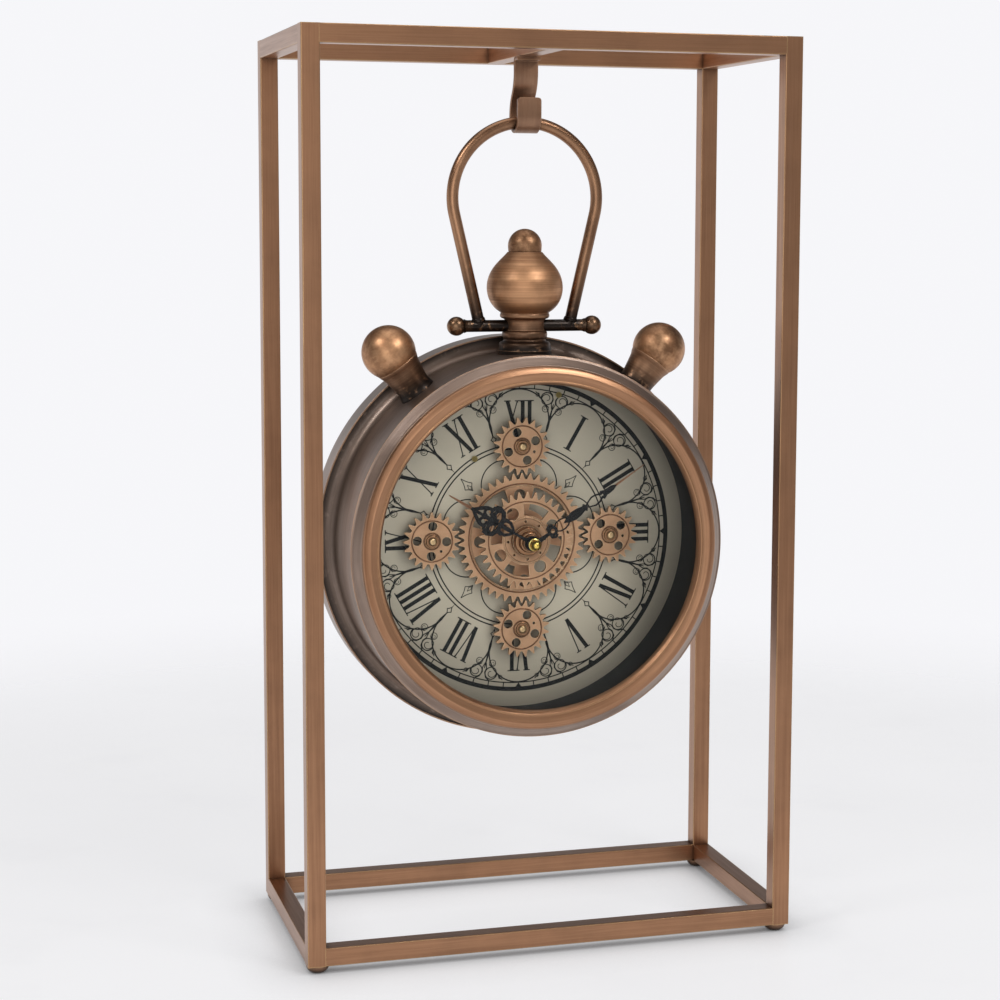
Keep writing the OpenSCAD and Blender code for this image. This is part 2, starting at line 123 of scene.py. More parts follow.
def rounded(points, r, closed=True, n=4):
    """The same outline with each corner replaced by a small curve."""
    out = []
    count = len(points)
    for i, p in enumerate(points):
        if not closed and i in (0, count - 1):
            out.append(tuple(p[:2]))
            continue
        corner = Vector(p[:2])
        back = Vector(points[i - 1][:2]) - corner
        ahead = Vector(points[(i + 1) % count][:2]) - corner
        reach = min(p[2] if len(p) > 2 else r, back.length * 0.48, ahead.length * 0.48)
        a = corner + back.normalized() * reach
        b = corner + ahead.normalized() * reach
        for k in range(n + 1):
            t = k / n
            out.append(tuple(a * (1 - t) ** 2 + corner * 2 * t * (1 - t) + b * t * t))
    return out


def smooth(points, n=5):
    """A curve through all the points, eased between them."""
    out = []
    last = len(points) - 1
    for i in range(last):
        p0, p1 = Vector(points[max(i - 1, 0)]), Vector(points[i])
        p2, p3 = Vector(points[i + 1]), Vector(points[min(i + 2, last)])
        for k in range(n):
            t = k / n
            out.append(tuple(p1 + (p2 - p0) * (t / 2) + (p0 * 2 - p1 * 5 + p2 * 4 - p3) * (t * t / 2)
                             + (p1 * 3 - p0 - p2 * 3 + p3) * (t ** 3 / 2)))
    return out + [tuple(points[-1])]


def to_mesh(bm, sharp=30):
    """The finished mesh in metres, smooth except along edges sharper than the given angle.
    Normals lean towards the larger face, so flat faces stay flat next to a small bevel."""
    bmesh.ops.recalc_face_normals(bm, faces=bm.faces)
    mesh = bpy.data.meshes.new("piece")
    bm.to_mesh(mesh)
    bm.free()
    mesh.shade_smooth()
    mesh.set_sharp_from_angle(angle=math.radians(sharp))
    limit = math.cos(math.radians(sharp))
    faces = [(Vector(face.normal), face.area) for face in mesh.polygons]
    around = [[] for vertex in mesh.vertices]
    for face in mesh.polygons:
        for vertex in face.vertices:
            around[vertex].append(faces[face.index])
    normals = []
    for face in mesh.polygons:
        own = faces[face.index][0]
        for vertex in face.vertices:
            total = Vector()
            for normal, area in around[vertex]:
                if normal.dot(own) > limit:
                    total += normal * area
            normals.append(total.normalized())
    mesh.normals_split_custom_set(normals)
    mesh.transform(Matrix.Scale(MM, 4))
    return mesh


def skin(bm, rings, grain, ends=False):
    """Faces between rings of vertices, each ring ending with its first vertex again.
    grain gives a corner's UV from its row and its turn. A ring of one vertex repeated is a pole."""
    uv = bm.loops.layers.uv.new("grain")
    for i in range(len(rings) - 1):
        for k in range(len(rings[0]) - 1):
            corners = [(rings[i][k], i, k), (rings[i][k + 1], i, k + 1),
                       (rings[i + 1][k + 1], i + 1, k + 1), (rings[i + 1][k], i + 1, k)]
            if corners[0][0] is corners[1][0]:
                corners.pop(1)
            elif corners[2][0] is corners[3][0]:
                corners.pop(3)
            if len({c[0] for c in corners}) < 3:
                continue
            face = bm.faces.new([c[0] for c in corners])
            for loop, (_, row, turn) in zip(face.loops, corners):
                loop[uv].uv = grain(row, turn)
    if ends:
        bm.faces.new(rings[0][:0:-1])
        bm.faces.new(rings[-1][:-1])


def lathe(profile, place=ON_AXIS, closed=False, steps=STEPS, sharp=30):
    """A piece turned about the local Z axis of place from (radius, height) points."""
    bm = bmesh.new()
    rings = []
    for r, h in profile:
        if r < 1e-6:
            rings.append([bm.verts.new(place @ Vector((0, 0, h)))] * (steps + 1))
        else:
            ring = [bm.verts.new(place @ Vector((r * math.cos(a), r * math.sin(a), h)))
                    for a in (math.tau * k / steps for k in range(steps))]
            rings.append(ring + ring[:1])
    if closed:
        rings.append(rings[0])
    along = distances(profile + profile[:1])
    half_way = math.pi * max(r for r, h in profile)
    skin(bm, rings, lambda row, turn: (abs(2 * turn / steps - 1) * half_way, along[row]))
    return to_mesh(bm, sharp)


def bar(low, high, along):
    """A straight square bar between two corners, the edges that run along one axis rounded."""
    bm = bmesh.new()
    plan = ((low.x, low.y), (high.x, low.y), (high.x, high.y), (low.x, high.y))
    bottom = [bm.verts.new((x, y, low.z)) for x, y in plan]
    top = [bm.verts.new((x, y, high.z)) for x, y in plan]
    bm.faces.new(bottom[::-1])
    bm.faces.new(top)
    for i, j in ((0, 1), (1, 2), (2, 3), (3, 0)):
        bm.faces.new((bottom[i], bottom[j], top[j], top[i]))
    bmesh.ops.recalc_face_normals(bm, faces=bm.faces)
    bevel_edges(bm, BAR_EDGE, along, 3)
    box_grain(bm, along)
    return to_mesh(bm)


def bevel_edges(bm, width, along=None, segments=2):
    """Bevels the sharp edges, or only those that run along one world axis."""
    chosen = []
    for e in bm.edges:
        way = (e.verts[1].co - e.verts[0].co).normalized()
        runs = along is None or abs(way[along]) > 0.99
        if runs and len(e.link_faces) == 2 and e.calc_face_angle() > math.radians(30):
            chosen.append(e)
    bmesh.ops.bevel(bm, geom=chosen, offset=width, segments=segments, profile=0.5,
                    affect="EDGES", clamp_overlap=True)


def box_grain(bm, along=2):
    """UVs in millimetres with U along one world axis, each side of a box at a place of its own."""
    uv = bm.loops.layers.uv.new("grain")
    others = [i for i in range(3) if i != along]
    for face in bm.faces:
        face.normal_update()
        pick = 0 if abs(face.normal[others[0]]) < abs(face.normal[others[1]]) else 1
        offset = 40 * (pick + 2 * (face.normal[others[1 - pick]] > 0))
        for loop in face.loops:
            loop[uv].uv = (loop.vert.co[along], loop.vert.co[others[pick]] + offset)


def sweep(path, radius, sides, up=Vector((0, 1, 0))):
    """A round wire along a path of points, closed by flat ends."""
    bm = bmesh.new()
    points = [Vector(p) for p in path]
    rings = []
    for i, p in enumerate(points):
        way = (points[min(i + 1, len(points) - 1)] - points[max(i - 1, 0)]).normalized()
        side = way.cross(up).normalized()
        lift = side.cross(way)
        ring = [bm.verts.new(p + radius * (side * math.cos(a) + lift * math.sin(a)))
                for a in (math.tau * k / sides for k in range(sides))]
        rings.append(ring + ring[:1])
    along = distances(path)
    skin(bm, rings, lambda row, turn: (along[row], abs(2 * turn / sides - 1) * math.pi * radius), True)
    return to_mesh(bm, 50)


def plate(loops, place, low, high, bevel=0.15, sharp=40):
    """A flat part with holes: the first loop is its outline. It lies in the local XY plane of place."""
    curve = bpy.data.curves.new("plate", "CURVE")
    curve.dimensions = "2D"
    curve.fill_mode = "BOTH"
    curve.extrude = (high - low) / 2 - bevel
    curve.bevel_depth = bevel
    curve.bevel_resolution = 1
    curve.offset = -bevel
    for points in loops:
        spline = curve.splines.new("POLY")
        spline.points.add(len(points) - 1)
        spline.points.foreach_set("co", [c for x, y in points for c in (x, y, 0, 1)])
        spline.use_cyclic_u = True
    obj = bpy.data.objects.new("plate", curve)
    bpy.context.scene.collection.objects.link(obj)
    graph = bpy.context.evaluated_depsgraph_get()
    raw = bpy.data.meshes.new_from_object(obj.evaluated_get(graph))
    bpy.data.objects.remove(obj)
    bpy.data.curves.remove(curve)
    bm = bmesh.new()
    bm.from_mesh(raw)
    bpy.data.meshes.remove(raw)
    bmesh.ops.remove_doubles(bm, verts=bm.verts, dist=1e-4)
    bm.transform(place @ at(0, 0, (low + high) / 2))
    box_grain(bm, 0)
    return to_mesh(bm, sharp)


def circle(r, x=0.0, y=0.0, n=48):
    return [(x + r * math.cos(math.tau * k / n), y + r * math.sin(math.tau * k / n)) for k in range(n)]


def polar(angle, r):
    """The point at a clockwise angle from twelve and a distance from the dial centre."""
    a = math.radians(90 - angle)
    return r * math.cos(a), r * math.sin(a)


def piece(name, mesh, material, body, *replaced):
    """A mesh as a named piece that rides a body and may stand for CAD nodes."""
    mesh.name = name
    mesh.materials.append(material)
    obj = bpy.data.objects.new(name, mesh)
    bpy.context.scene.collection.objects.link(obj)
    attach(obj, body)
    if replaced:
        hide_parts(*replaced)


# ---- materials ----
def set_inputs(tree, node, values):
    """Each input gets a value or another node's output."""
    for key, value in values.items():
        socket = node.inputs[key]
        if isinstance(value, bpy.types.NodeSocket):
            tree.links.new(value, socket)
        elif socket.type == "RGBA":
            socket.default_value = (*value, 1)
        else:
            socket.default_value = value


def add(tree, kind, inputs=None, **settings):
    """A shader node with its settings and its inputs."""
    node = tree.nodes.new("ShaderNode" + kind)
    for key, value in settings.items():
        setattr(node, key, value)
    set_inputs(tree, node, inputs or {})
    return node


def maths(tree, operation, a, b=0.0, clamp=False):
    return add(tree, "Math", {0: a, 1: b}, operation=operation, use_clamp=clamp).outputs[0]


def span(tree, value, low, high, out_low=0.0, out_high=1.0):
    """value from low..high to out_low..out_high, held at the ends."""
    return add(tree, "MapRange", {0: value, 1: low, 2: high, 3: out_low, 4: out_high}).outputs[0]


def blend(tree, factor, a, b):
    return add(tree, "Mix", {0: factor, 6: a, 7: b}, data_type="RGBA").outputs[2]


def noise(tree, vector, scale, detail=3.0, roughness=0.55):
    return add(tree, "TexNoise", {"Vector": vector, "Scale": scale, "Detail": detail,
                                  "Roughness": roughness}).outputs[0]


def stretched(tree, vector, scale):
    return add(tree, "Mapping", {"Vector": vector, "Scale": scale}).outputs[0]


def own_place(tree):
    return add(tree, "TexCoord").outputs["Object"]


def openness(tree, reach):
    """1 in the open, towards 0 in corners and recesses within reach, in metres."""
    return add(tree, "AmbientOcclusion", {"Distance": reach}, samples=6).outputs["AO"]


def away_from(tree, place, origin, mask):
    """The distance from a point in metres, in the directions that the mask leaves."""
    offset = add(tree, "VectorMath", {0: place, 1: tuple(origin * MM)}, operation="SUBTRACT").outputs[0]
    masked = add(tree, "VectorMath", {0: offset, 1: mask}, operation="MULTIPLY").outputs[0]
    return add(tree, "VectorMath", {0: masked}, operation="LENGTH").outputs["Value"]


def bumpy(tree, height, strength, distance=0.0001):
    return add(tree, "Bump", {"Strength": strength, "Distance": distance, "Height": height}).outputs[0]


def new_material(name):
    material = bpy.data.materials.new(name)
    material.use_nodes = True
    tree = material.node_tree
    return material, tree, tree.nodes["Principled BSDF"]


def brushed_metal(name, base, dark, bright, rough=0.36, grain=(0.03, 2.2), coat=0.3, patina=0.5,
                  recess=0.8, edge_wear_and_glint=0.8, turn=0.3, reach=0.006, painted_shade_near=None, edge_wear_and_glint_tint=None):
    """Metal with a directional grain and cloudy patina, painted shade in recesses, and convex edges
    lighter, partly metal brightened by handling and partly a painted highlight.
    The argument for painted shade near a point holds a centre, the directions that count from it,
    a dark distance, a distance where the darkening stops and a share."""
    material, tree, bsdf = new_material(name)
    coords = add(tree, "TexCoord")
    place = coords.outputs["Object"]
    lay = coords.outputs["UV"]
    fine = noise(tree, stretched(tree, lay, (*grain, 1)), 1.0, 4, 0.65)
    broad = noise(tree, stretched(tree, lay, (grain[0] * 0.5, grain[1] * 0.16, 1)), 1.0, 3)
    cloud = noise(tree, place, 34.0, 5, 0.6)
    closed = openness(tree, reach)
    # hollow is painted shade: the colour goes dark in corners, in recesses and in gaps between parts
    hollow = span(tree, closed, 0.35, 0.95, recess, 0.0)
    soft = add(tree, "Bevel", {"Radius": 0.0009}, samples=4).outputs[0]
    true_normal = add(tree, "NewGeometry").outputs["Normal"]
    along = add(tree, "VectorMath", {0: soft, 1: true_normal}, operation="DOT_PRODUCT").outputs["Value"]
    # Convex edges turn lighter: partly metal brightened by handling, partly a painted highlight along them
    edge = maths(tree, "MULTIPLY", span(tree, along, 0.985, 0.9, 0.0, edge_wear_and_glint), span(tree, closed, 0.3, 0.6))
    edge_wear_and_glint_mask = maths(tree, "MULTIPLY", edge, span(tree, fine, 0.3, 0.6, 0.45, 1.0))

    colour = blend(tree, span(tree, cloud, 0.42, 0.68, 0.0, patina), base, dark)
    streaks = maths(tree, "ADD", maths(tree, "MULTIPLY", fine, 0.5), maths(tree, "MULTIPLY", broad, 0.5))
    colour = blend(tree, span(tree, streaks, 0.46, 0.66, 0.0, 0.45), colour, bright)
    colour = blend(tree, span(tree, streaks, 0.5, 0.34, 0.0, 0.35), colour, dark)
    colour = blend(tree, hollow, colour, tuple(c * 0.22 for c in dark))
    # Painted shade: near the given centre the colour goes almost black, thinner in patches
    if painted_shade_near:
        origin, mask, near, far, share = painted_shade_near
        away = away_from(tree, place, origin, mask)
        black = span(tree, away, near * MM, far * MM, share, 0.0)
        patches = noise(tree, place, 170.0, 4, 0.6)
        shade_gaps = maths(tree, "MULTIPLY", span(tree, patches, 0.56, 0.66), span(tree, streaks, 0.4, 0.55))
        black = maths(tree, "MULTIPLY", black, span(tree, shade_gaps, 0.0, 1.0, 1.0, 0.25))
        colour = blend(tree, black, colour, (0.022, 0.016, 0.013))
    colour = blend(tree, edge_wear_and_glint_mask, colour, edge_wear_and_glint_tint or tuple(min(1.0, c * 1.35) for c in bright))
    roughness = span(tree, streaks, 0.3, 0.7, rough + 0.08, rough - 0.07)
    roughness = maths(tree, "ADD", roughness, maths(tree, "MULTIPLY", hollow, 0.25), clamp=True)
    bump = bumpy(tree, streaks, 0.12, 0.0002)
    set_inputs(tree, bsdf, {"Base Color": colour, "Metallic": 1.0, "Roughness": roughness,
                            "Coat Weight": coat, "Coat Roughness": 0.28, "Normal": bump})
    if turn:
        tangent = add(tree, "Tangent", direction_type="UV_MAP", uv_map="grain").outputs[0]
        set_inputs(tree, bsdf, {"Anisotropic": turn, "Tangent": tangent})
    return material


def moulded(name, colour, rough=0.5, scale=900.0, depth=0.25, clearcoat=0.0, dust=0.15, gloss=0.5):
    """Moulded or painted surface with a fine texture and a little dust in the corners."""
    material, tree, bsdf = new_material(name)
    place = own_place(tree)
    skin = noise(tree, place, scale, 3)
    cloud = noise(tree, place, 40.0, 4)
    closed = openness(tree, 0.004)
    tone = blend(tree, span(tree, cloud, 0.4, 0.7, 0.0, 0.5), colour, tuple(c * 0.75 for c in colour))
    tone = blend(tree, span(tree, closed, 0.3, 0.9, dust, 0.0), tone, (0.12, 0.105, 0.09))
    roughness = span(tree, cloud, 0.3, 0.7, rough - 0.06, rough + 0.08)
    bump = bumpy(tree, skin, depth)
    set_inputs(tree, bsdf, {"Base Color": tone, "Roughness": roughness, "Coat Weight": clearcoat,
                            "Specular IOR Level": gloss, "Coat Roughness": 0.1, "Normal": bump})
    return material


def dial_paint():
    """Satin champagne paint, brushed lightly across, a little darker towards the rim, and darkened
    by painted shade close to the parts that stand in front of it.
    """
    material, tree, bsdf = new_material("dial_paint")
    place = own_place(tree)
    distance = away_from(tree, place, AXIS, (1, 0, 1))
    grain = noise(tree, stretched(tree, place, (60, 60, 2600)), 1.0, 3)
    cloud = noise(tree, place, 22.0, 4)
    speck = noise(tree, place, 1500.0, 2)
    colour = blend(tree, span(tree, distance, 0.055, 0.125), (0.60, 0.54, 0.425), (0.50, 0.445, 0.355))
    colour = blend(tree, span(tree, cloud, 0.45, 0.7, 0.0, 0.35), colour, (0.50, 0.435, 0.335))
    colour = blend(tree, span(tree, grain, 0.4, 0.65, 0.0, 0.14), colour, (0.70, 0.64, 0.52))
    # Painted shade: the dial goes dark close to the gears, spindles, liner and other parts in front of it
    closed = openness(tree, 0.02)
    colour = blend(tree, span(tree, closed, 0.2, 0.9, 0.6, 0.0), colour, (0.06, 0.052, 0.04))
    set_inputs(tree, bsdf, {"Base Color": colour, "Metallic": 0.35, "Normal": bumpy(tree, speck, 0.06),
                            "Roughness": span(tree, grain, 0.3, 0.7, 0.42, 0.5)})
    return material


def ink():
    """Printed black with a slight unevenness."""
    material, tree, bsdf = new_material("dial_ink")
    place = own_place(tree)
    cloud = noise(tree, place, 260.0, 4)
    colour = blend(tree, span(tree, cloud, 0.35, 0.7), (0.006, 0.007, 0.008), (0.018, 0.018, 0.018))
    set_inputs(tree, bsdf, {"Base Color": colour, "Roughness": span(tree, cloud, 0.3, 0.7, 0.45, 0.6),
                            "Specular IOR Level": 0.25})
    return material


def clear_glass():
    """Flat window glass: clear face on, with reflections that grow at a slant."""
    material, tree, bsdf = new_material("window_glass")
    output = tree.nodes["Material Output"]
    place = own_place(tree)
    smear = span(tree, noise(tree, place, 18.0, 4), 0.45, 0.75, 0.015, 0.09)
    set_inputs(tree, bsdf, {"Base Color": (0.95, 0.98, 1.0), "Metallic": 1.0, "Roughness": smear})
    fresnel = add(tree, "Fresnel", {"IOR": 1.17}).outputs[0]
    clear = add(tree, "BsdfTransparent", {"Color": (0.985, 0.99, 0.985)})
    mixed = add(tree, "MixShader", {0: fresnel, 1: clear.outputs[0], 2: bsdf.outputs[0]})
    tree.links.new(mixed.outputs[0], output.inputs["Surface"])
    return material


def floor_paint():
    """A pale sheet that fades into the backdrop away from the clock. It glows as a lit sheet, and
    painted contact shadow darkens its light close to the clock.
    """
    material, tree, bsdf = new_material("floor_paint")
    place = own_place(tree)
    cloud = noise(tree, place, 1.6, 4)
    smudge = noise(tree, place, 7.0, 5, 0.6)
    colour = blend(tree, span(tree, cloud, 0.3, 0.7), (0.83, 0.83, 0.845), (0.79, 0.79, 0.805))
    colour = blend(tree, span(tree, smudge, 0.55, 0.75, 0.0, 0.25), colour, (0.72, 0.72, 0.735))
    # Painted contact shadow: the sheet's light goes darker close to the stand and its feet
    glow_with_painted_shadow = add(tree, "AmbientOcclusion", {"Color": colour, "Distance": 0.05}, samples=6).outputs["Color"]
    base = blend(tree, 0.72, colour, (0.0, 0.0, 0.0))
    set_inputs(tree, bsdf, {"Base Color": base, "Roughness": 0.42, "Specular IOR Level": 0.3,
                            "Emission Color": glow_with_painted_shadow, "Emission Strength": 0.82})
    distance = add(tree, "VectorMath", {0: place}, operation="LENGTH").outputs["Value"]
    fade = add(tree, "MapRange", {0: distance, 1: 0.55, 2: 1.25},
               interpolation_type="SMOOTHSTEP").outputs[0]
    clear = add(tree, "BsdfTransparent")
    mixed = add(tree, "MixShader", {0: fade, 1: bsdf.outputs[0], 2: clear.outputs[0]})
    tree.links.new(mixed.outputs[0], tree.nodes["Material Output"].inputs["Surface"])
    return material


COPPER = brushed_metal("antique_copper", (0.30, 0.165, 0.098), (0.17, 0.092, 0.056),
    (0.40, 0.235, 0.142), rough=0.42, turn=0.2)
BAR_COPPER = brushed_metal("bar_copper", (0.36, 0.182, 0.097), (0.21, 0.107, 0.060),
    (0.49, 0.265, 0.148), rough=0.34, grain=(0.02, 2.6), patina=0.35, edge_wear_and_glint=0.8, turn=0.0, coat=0.25,
    edge_wear_and_glint_tint=(0.80, 0.58, 0.28))
# Painted shade: the bow's wire goes dark towards the rod, where it meets the rod beside the crown
BOW_COPPER = brushed_metal("bow_copper", (0.36, 0.195, 0.110), (0.15, 0.078, 0.044),
    (0.50, 0.29, 0.165), rough=0.36, grain=(0.012, 0.4), patina=0.7, edge_wear_and_glint=0.0, turn=0.0, coat=0.1,
    painted_shade_near=(ROD, (0, 0, 1), 4.0, 52.0, 1.0))
# Painted shade: the rod goes dark between the bow's feet, under the crown
ROD_COPPER = brushed_metal("rod_copper", (0.34, 0.19, 0.10), (0.13, 0.07, 0.042), (0.50, 0.30, 0.165),
    rough=0.36, grain=(0.05, 0.5), patina=0.7, edge_wear_and_glint=0.0, turn=0.0, coat=0.2,
    painted_shade_near=(ROD, (1, 0, 0), 36.0, 58.0, 1.0))
# The drum's copy of the case finish carries painted shade: dark from the rear of the side wall across the
# flange
CASE_COPPER, DRUM_COPPER_SHADED = (
    brushed_metal(name, (0.32, 0.235, 0.188), (0.18, 0.128, 0.10), (0.46, 0.335, 0.265), rough=0.42,
                  grain=(0.02, 1.6), coat=0.4, edge_wear_and_glint=1.0, recess=0.95, reach=0.018, turn=0.0,
                  edge_wear_and_glint_tint=(0.74, 0.42, 0.22), painted_shade_near=painted_shade_near)
    for name, painted_shade_near in (("case_copper", None),
                       ("drum_copper_shaded", (AXIS, (1, 0, 1), FLANGE_R - 2, DRUM_R + 1.5, 0.8))))
BEZEL_COPPER = brushed_metal("bezel_copper", (0.41, 0.215, 0.118), (0.23, 0.115, 0.062),
    (0.55, 0.31, 0.175), rough=0.4, grain=(0.02, 1.8), coat=0.2, patina=0.35, edge_wear_and_glint=0.8, turn=0.0,
    edge_wear_and_glint_tint=(0.82, 0.50, 0.26))
KNOB_COPPER = brushed_metal("knob_copper", (0.53, 0.285, 0.150), (0.18, 0.090, 0.048),
    (0.82, 0.49, 0.27), rough=0.46, grain=(0.012, 0.9), coat=0.1, patina=0.6, turn=0.25, edge_wear_and_glint=0.0,
    reach=0.008)
BALL_COPPER = brushed_metal("ball_copper", (0.51, 0.275, 0.145), (0.16, 0.080, 0.042),
    (0.78, 0.47, 0.26), rough=0.44, grain=(0.2, 0.3), coat=0.1, patina=0.85, turn=0.0, edge_wear_and_glint=0.0,
    reach=0.008)
# Painted shade: the neck and the knob cups go dark close to the drum
NECK_COPPER = brushed_metal("neck_copper", (0.37, 0.20, 0.113), (0.13, 0.070, 0.042),
    (0.58, 0.35, 0.20), rough=0.42, grain=(0.02, 0.9), coat=0.1, patina=0.7, turn=0.2, reach=0.008,
    painted_shade_near=(AXIS, (1, 0, 1), 131.0, 150.0, 1.0))
GEAR_COPPER = brushed_metal("gear_copper", (0.74, 0.445, 0.27), (0.34, 0.18, 0.095), (0.92, 0.61, 0.40),
    rough=0.46, grain=(0.25, 2.5), coat=0.0, patina=0.45, recess=1.0, turn=0)
LINE_COPPER = brushed_metal("gear_line", (0.17, 0.082, 0.045), (0.09, 0.042, 0.024),
    (0.32, 0.17, 0.095), rough=0.4, coat=0.0, reach=0.003, turn=0)
COLLAR_COPPER = brushed_metal("collar_copper", (0.40, 0.21, 0.11), (0.22, 0.11, 0.058),
    (0.55, 0.32, 0.18), rough=0.36, grain=(0.05, 1.2), coat=0.0, recess=0.6, reach=0.002, turn=0)
BRASS = brushed_metal("turned_brass", (0.98, 0.70, 0.16), (0.60, 0.38, 0.08), (1.0, 0.84, 0.30),
    rough=0.3, grain=(0.05, 3.0), coat=0.0, patina=0.2, reach=0.001, turn=0)
PIN_BRASS = brushed_metal("pin_brass", (0.76, 0.53, 0.29), (0.46, 0.29, 0.14), (0.92, 0.68, 0.40),
    rough=0.38, grain=(0.05, 3.0), coat=0.0, patina=0.3, reach=0.001, turn=0)
BRONZE = brushed_metal("screw_bronze", (0.22, 0.17, 0.065), (0.10, 0.075, 0.03), (0.42, 0.33, 0.13),
    rough=0.35, grain=(0.2, 2.0), coat=0.0, patina=0.3, reach=0.001, turn=0)
NEEDLE_COPPER = brushed_metal("needle_copper", (0.34, 0.17, 0.10), (0.10, 0.05, 0.03),
    (0.50, 0.27, 0.16), rough=0.35, coat=0.2, patina=0.8, turn=0)
STEEL = brushed_metal("zinc_steel", (0.55, 0.55, 0.54), (0.33, 0.33, 0.33), (0.72, 0.72, 0.71),
    rough=0.3, grain=(0.1, 3.0), coat=0.0, patina=0.3, reach=0.002)
LINER = moulded("liner_black", (0.014, 0.016, 0.019), rough=0.6, scale=500, depth=0.08, dust=0.03,
    gloss=0.2)
HAND_BLACK = moulded("hand_black", (0.006, 0.006, 0.007), rough=0.45, depth=0.1, dust=0.0, gloss=0.3)
PLASTIC = moulded("black_plastic", (0.022, 0.022, 0.024), rough=0.46, scale=1400)
GREY_PLASTIC = moulded("switch_plastic", (0.50, 0.50, 0.48), rough=0.42, scale=1400)
SLEEVE = moulded("battery_sleeve", (0.035, 0.14, 0.105), rough=0.25, scale=120, depth=0.03,
    clearcoat=0.6)
PAINT = dial_paint()
INK = ink()
GLASS = clear_glass()


# ---- stand ----
BAR_EDGE = 0.7                    # rounding of the square tube's edges


def tube_bar(node, low, high, along):
    piece("tube_" + node, bar(low, high, along), BAR_COPPER, "stand", node)


def make_bars():
    """Posts over the full height, rails that butt against them, and the crossbar."""
    for corner in ("front_left", "front_right", "rear_left", "rear_right"):
        low, high = box_mm("post_" + corner)
        low.z, high.z = box_mm("bottom_rail_front")[0].z, box_mm("top_rail_front")[1].z
        tube_bar("post_" + corner, low, high, 2)
    reach = CAD_BOX[1] / MM - Vector((TUBE - BAR_EDGE, TUBE - BAR_EDGE, 0))
    for level in ("top", "bottom"):
        for side in ("front", "rear", "left", "right"):
            node = f"{level}_rail_{side}"
            low, high = box_mm(node)
            along = 0 if side in ("front", "rear") else 1
            low[along], high[along] = -reach[along], reach[along]
            tube_bar(node, low, high, along)
    tube_bar("crossbar", *box_mm("crossbar"), 1)


FOOT_R = 7.5


def make_feet():
    """Four domes, of which the first stands for the CAD's feet."""
    low, high = box_mm("feet")
    rise = high.z - low.z
    profile = [(0, 0)] + arc(FOOT_R - rise, rise, rise, -90, 0, 10) + [(0, rise)]
    for number, (sx, sy) in enumerate(((-1, -1), (1, -1), (-1, 1), (1, 1)), 1):
        place = at(sx * (high.x - FOOT_R), sy * (high.y - FOOT_R), 0)
        stands_for = ["feet"] if number == 1 else []
        dome = lathe(profile, place, steps=40, sharp=50)
        piece(f"dome_foot_{number}", dome, COPPER, "stand", *stands_for)


def strap(left, right, place, low, high):
    """A flat strap between two side lines, narrowed at its first end to round the corners."""
    corner_r, edge = 2.2, 0.4
    bm = bmesh.new()
    rows = []
    along = distances(left)
    for a, b, length in zip(left, right, along):
        corner = max(0.0, corner_r - length)
        inset = corner_r - math.sqrt(corner_r ** 2 - corner ** 2)
        x0, x1 = low + inset, high - inset
        near, far = blend_2d(a, b, 0.2), blend_2d(a, b, 0.8)
        section = [(x0 + edge, a), (x1 - edge, a), (x1, near), (x1, far),
                   (x1 - edge, b), (x0 + edge, b), (x0, far), (x0, near)]
        row = [bm.verts.new(place @ Vector((*p, x))) for x, p in section]
        rows.append(row + row[:1])
    skin(bm, rows, lambda row, turn: (along[row], turn * 3.0), True)
    return to_mesh(bm, 40)


def blend_2d(a, b, share):
    return a[0] + (b[0] - a[0]) * share, a[1] + (b[1] - a[1]) * share


def make_hook():
    """A strap from under the crossbar, down behind the wire, round under it and up to a lip."""
    low, high = box_mm("hook")
    thick, bend_r, fold_r = 2.5, 9.75, 1.8
    bend_z = low.z + bend_r + thick / 2
    lip_z = box_mm("bow")[1].z + 12
    shift = bend_r + thick / 2
    turn_r = (high.z - bend_z) / 2 + 4 - thick / 2
    turn = math.degrees(math.acos(1 - shift / 2 / turn_r))
    rise = 2 * turn_r * math.sin(math.radians(turn))
    path = [(-bend_r, lip_z - drop) for drop in (0, 0.15, 0.4, 0.8, 1.4, 2.2, 4.0, 7.0)]
    path += arc(0, bend_z, bend_r, 180, 360, 20)
    path += arc(bend_r - turn_r, bend_z, turn_r, 0, turn, 8)[1:]
    path += arc(bend_r - shift + turn_r, bend_z + rise, turn_r, 180 + turn, 180, 8)[1:]
    path += [(bend_r - shift, high.z - thick - 2.5)]
    path += arc(bend_r - shift - fold_r, high.z - thick / 2 - fold_r, fold_r, 0, 90, 6)
    path += [(bend_r - shift - 8, high.z - thick / 2)]
    points = [Vector(p) for p in path]
    left, right = [], []
    for i, p in enumerate(points):
        way = (points[min(i + 1, len(points) - 1)] - points[max(i - 1, 0)]).normalized()
        normal = Vector((-way.y, way.x)) * thick / 2
        left.append(tuple(p + normal))
        right.append(tuple(p - normal))
    place = at(0, ROD.y, 0) @ Matrix(((0, 0, 1, 0), (1, 0, 0, 0), (0, 1, 0, 0), (0, 0, 0, 1)))
    piece("strap_hook", strap(left, right, place, low.x, high.x), COPPER, "stand", "hook")


# ---- bow and cross rod ----
WIRE_R = 4.0
BOW_FOOT = 31.3                   # half the distance between the ends of the wire


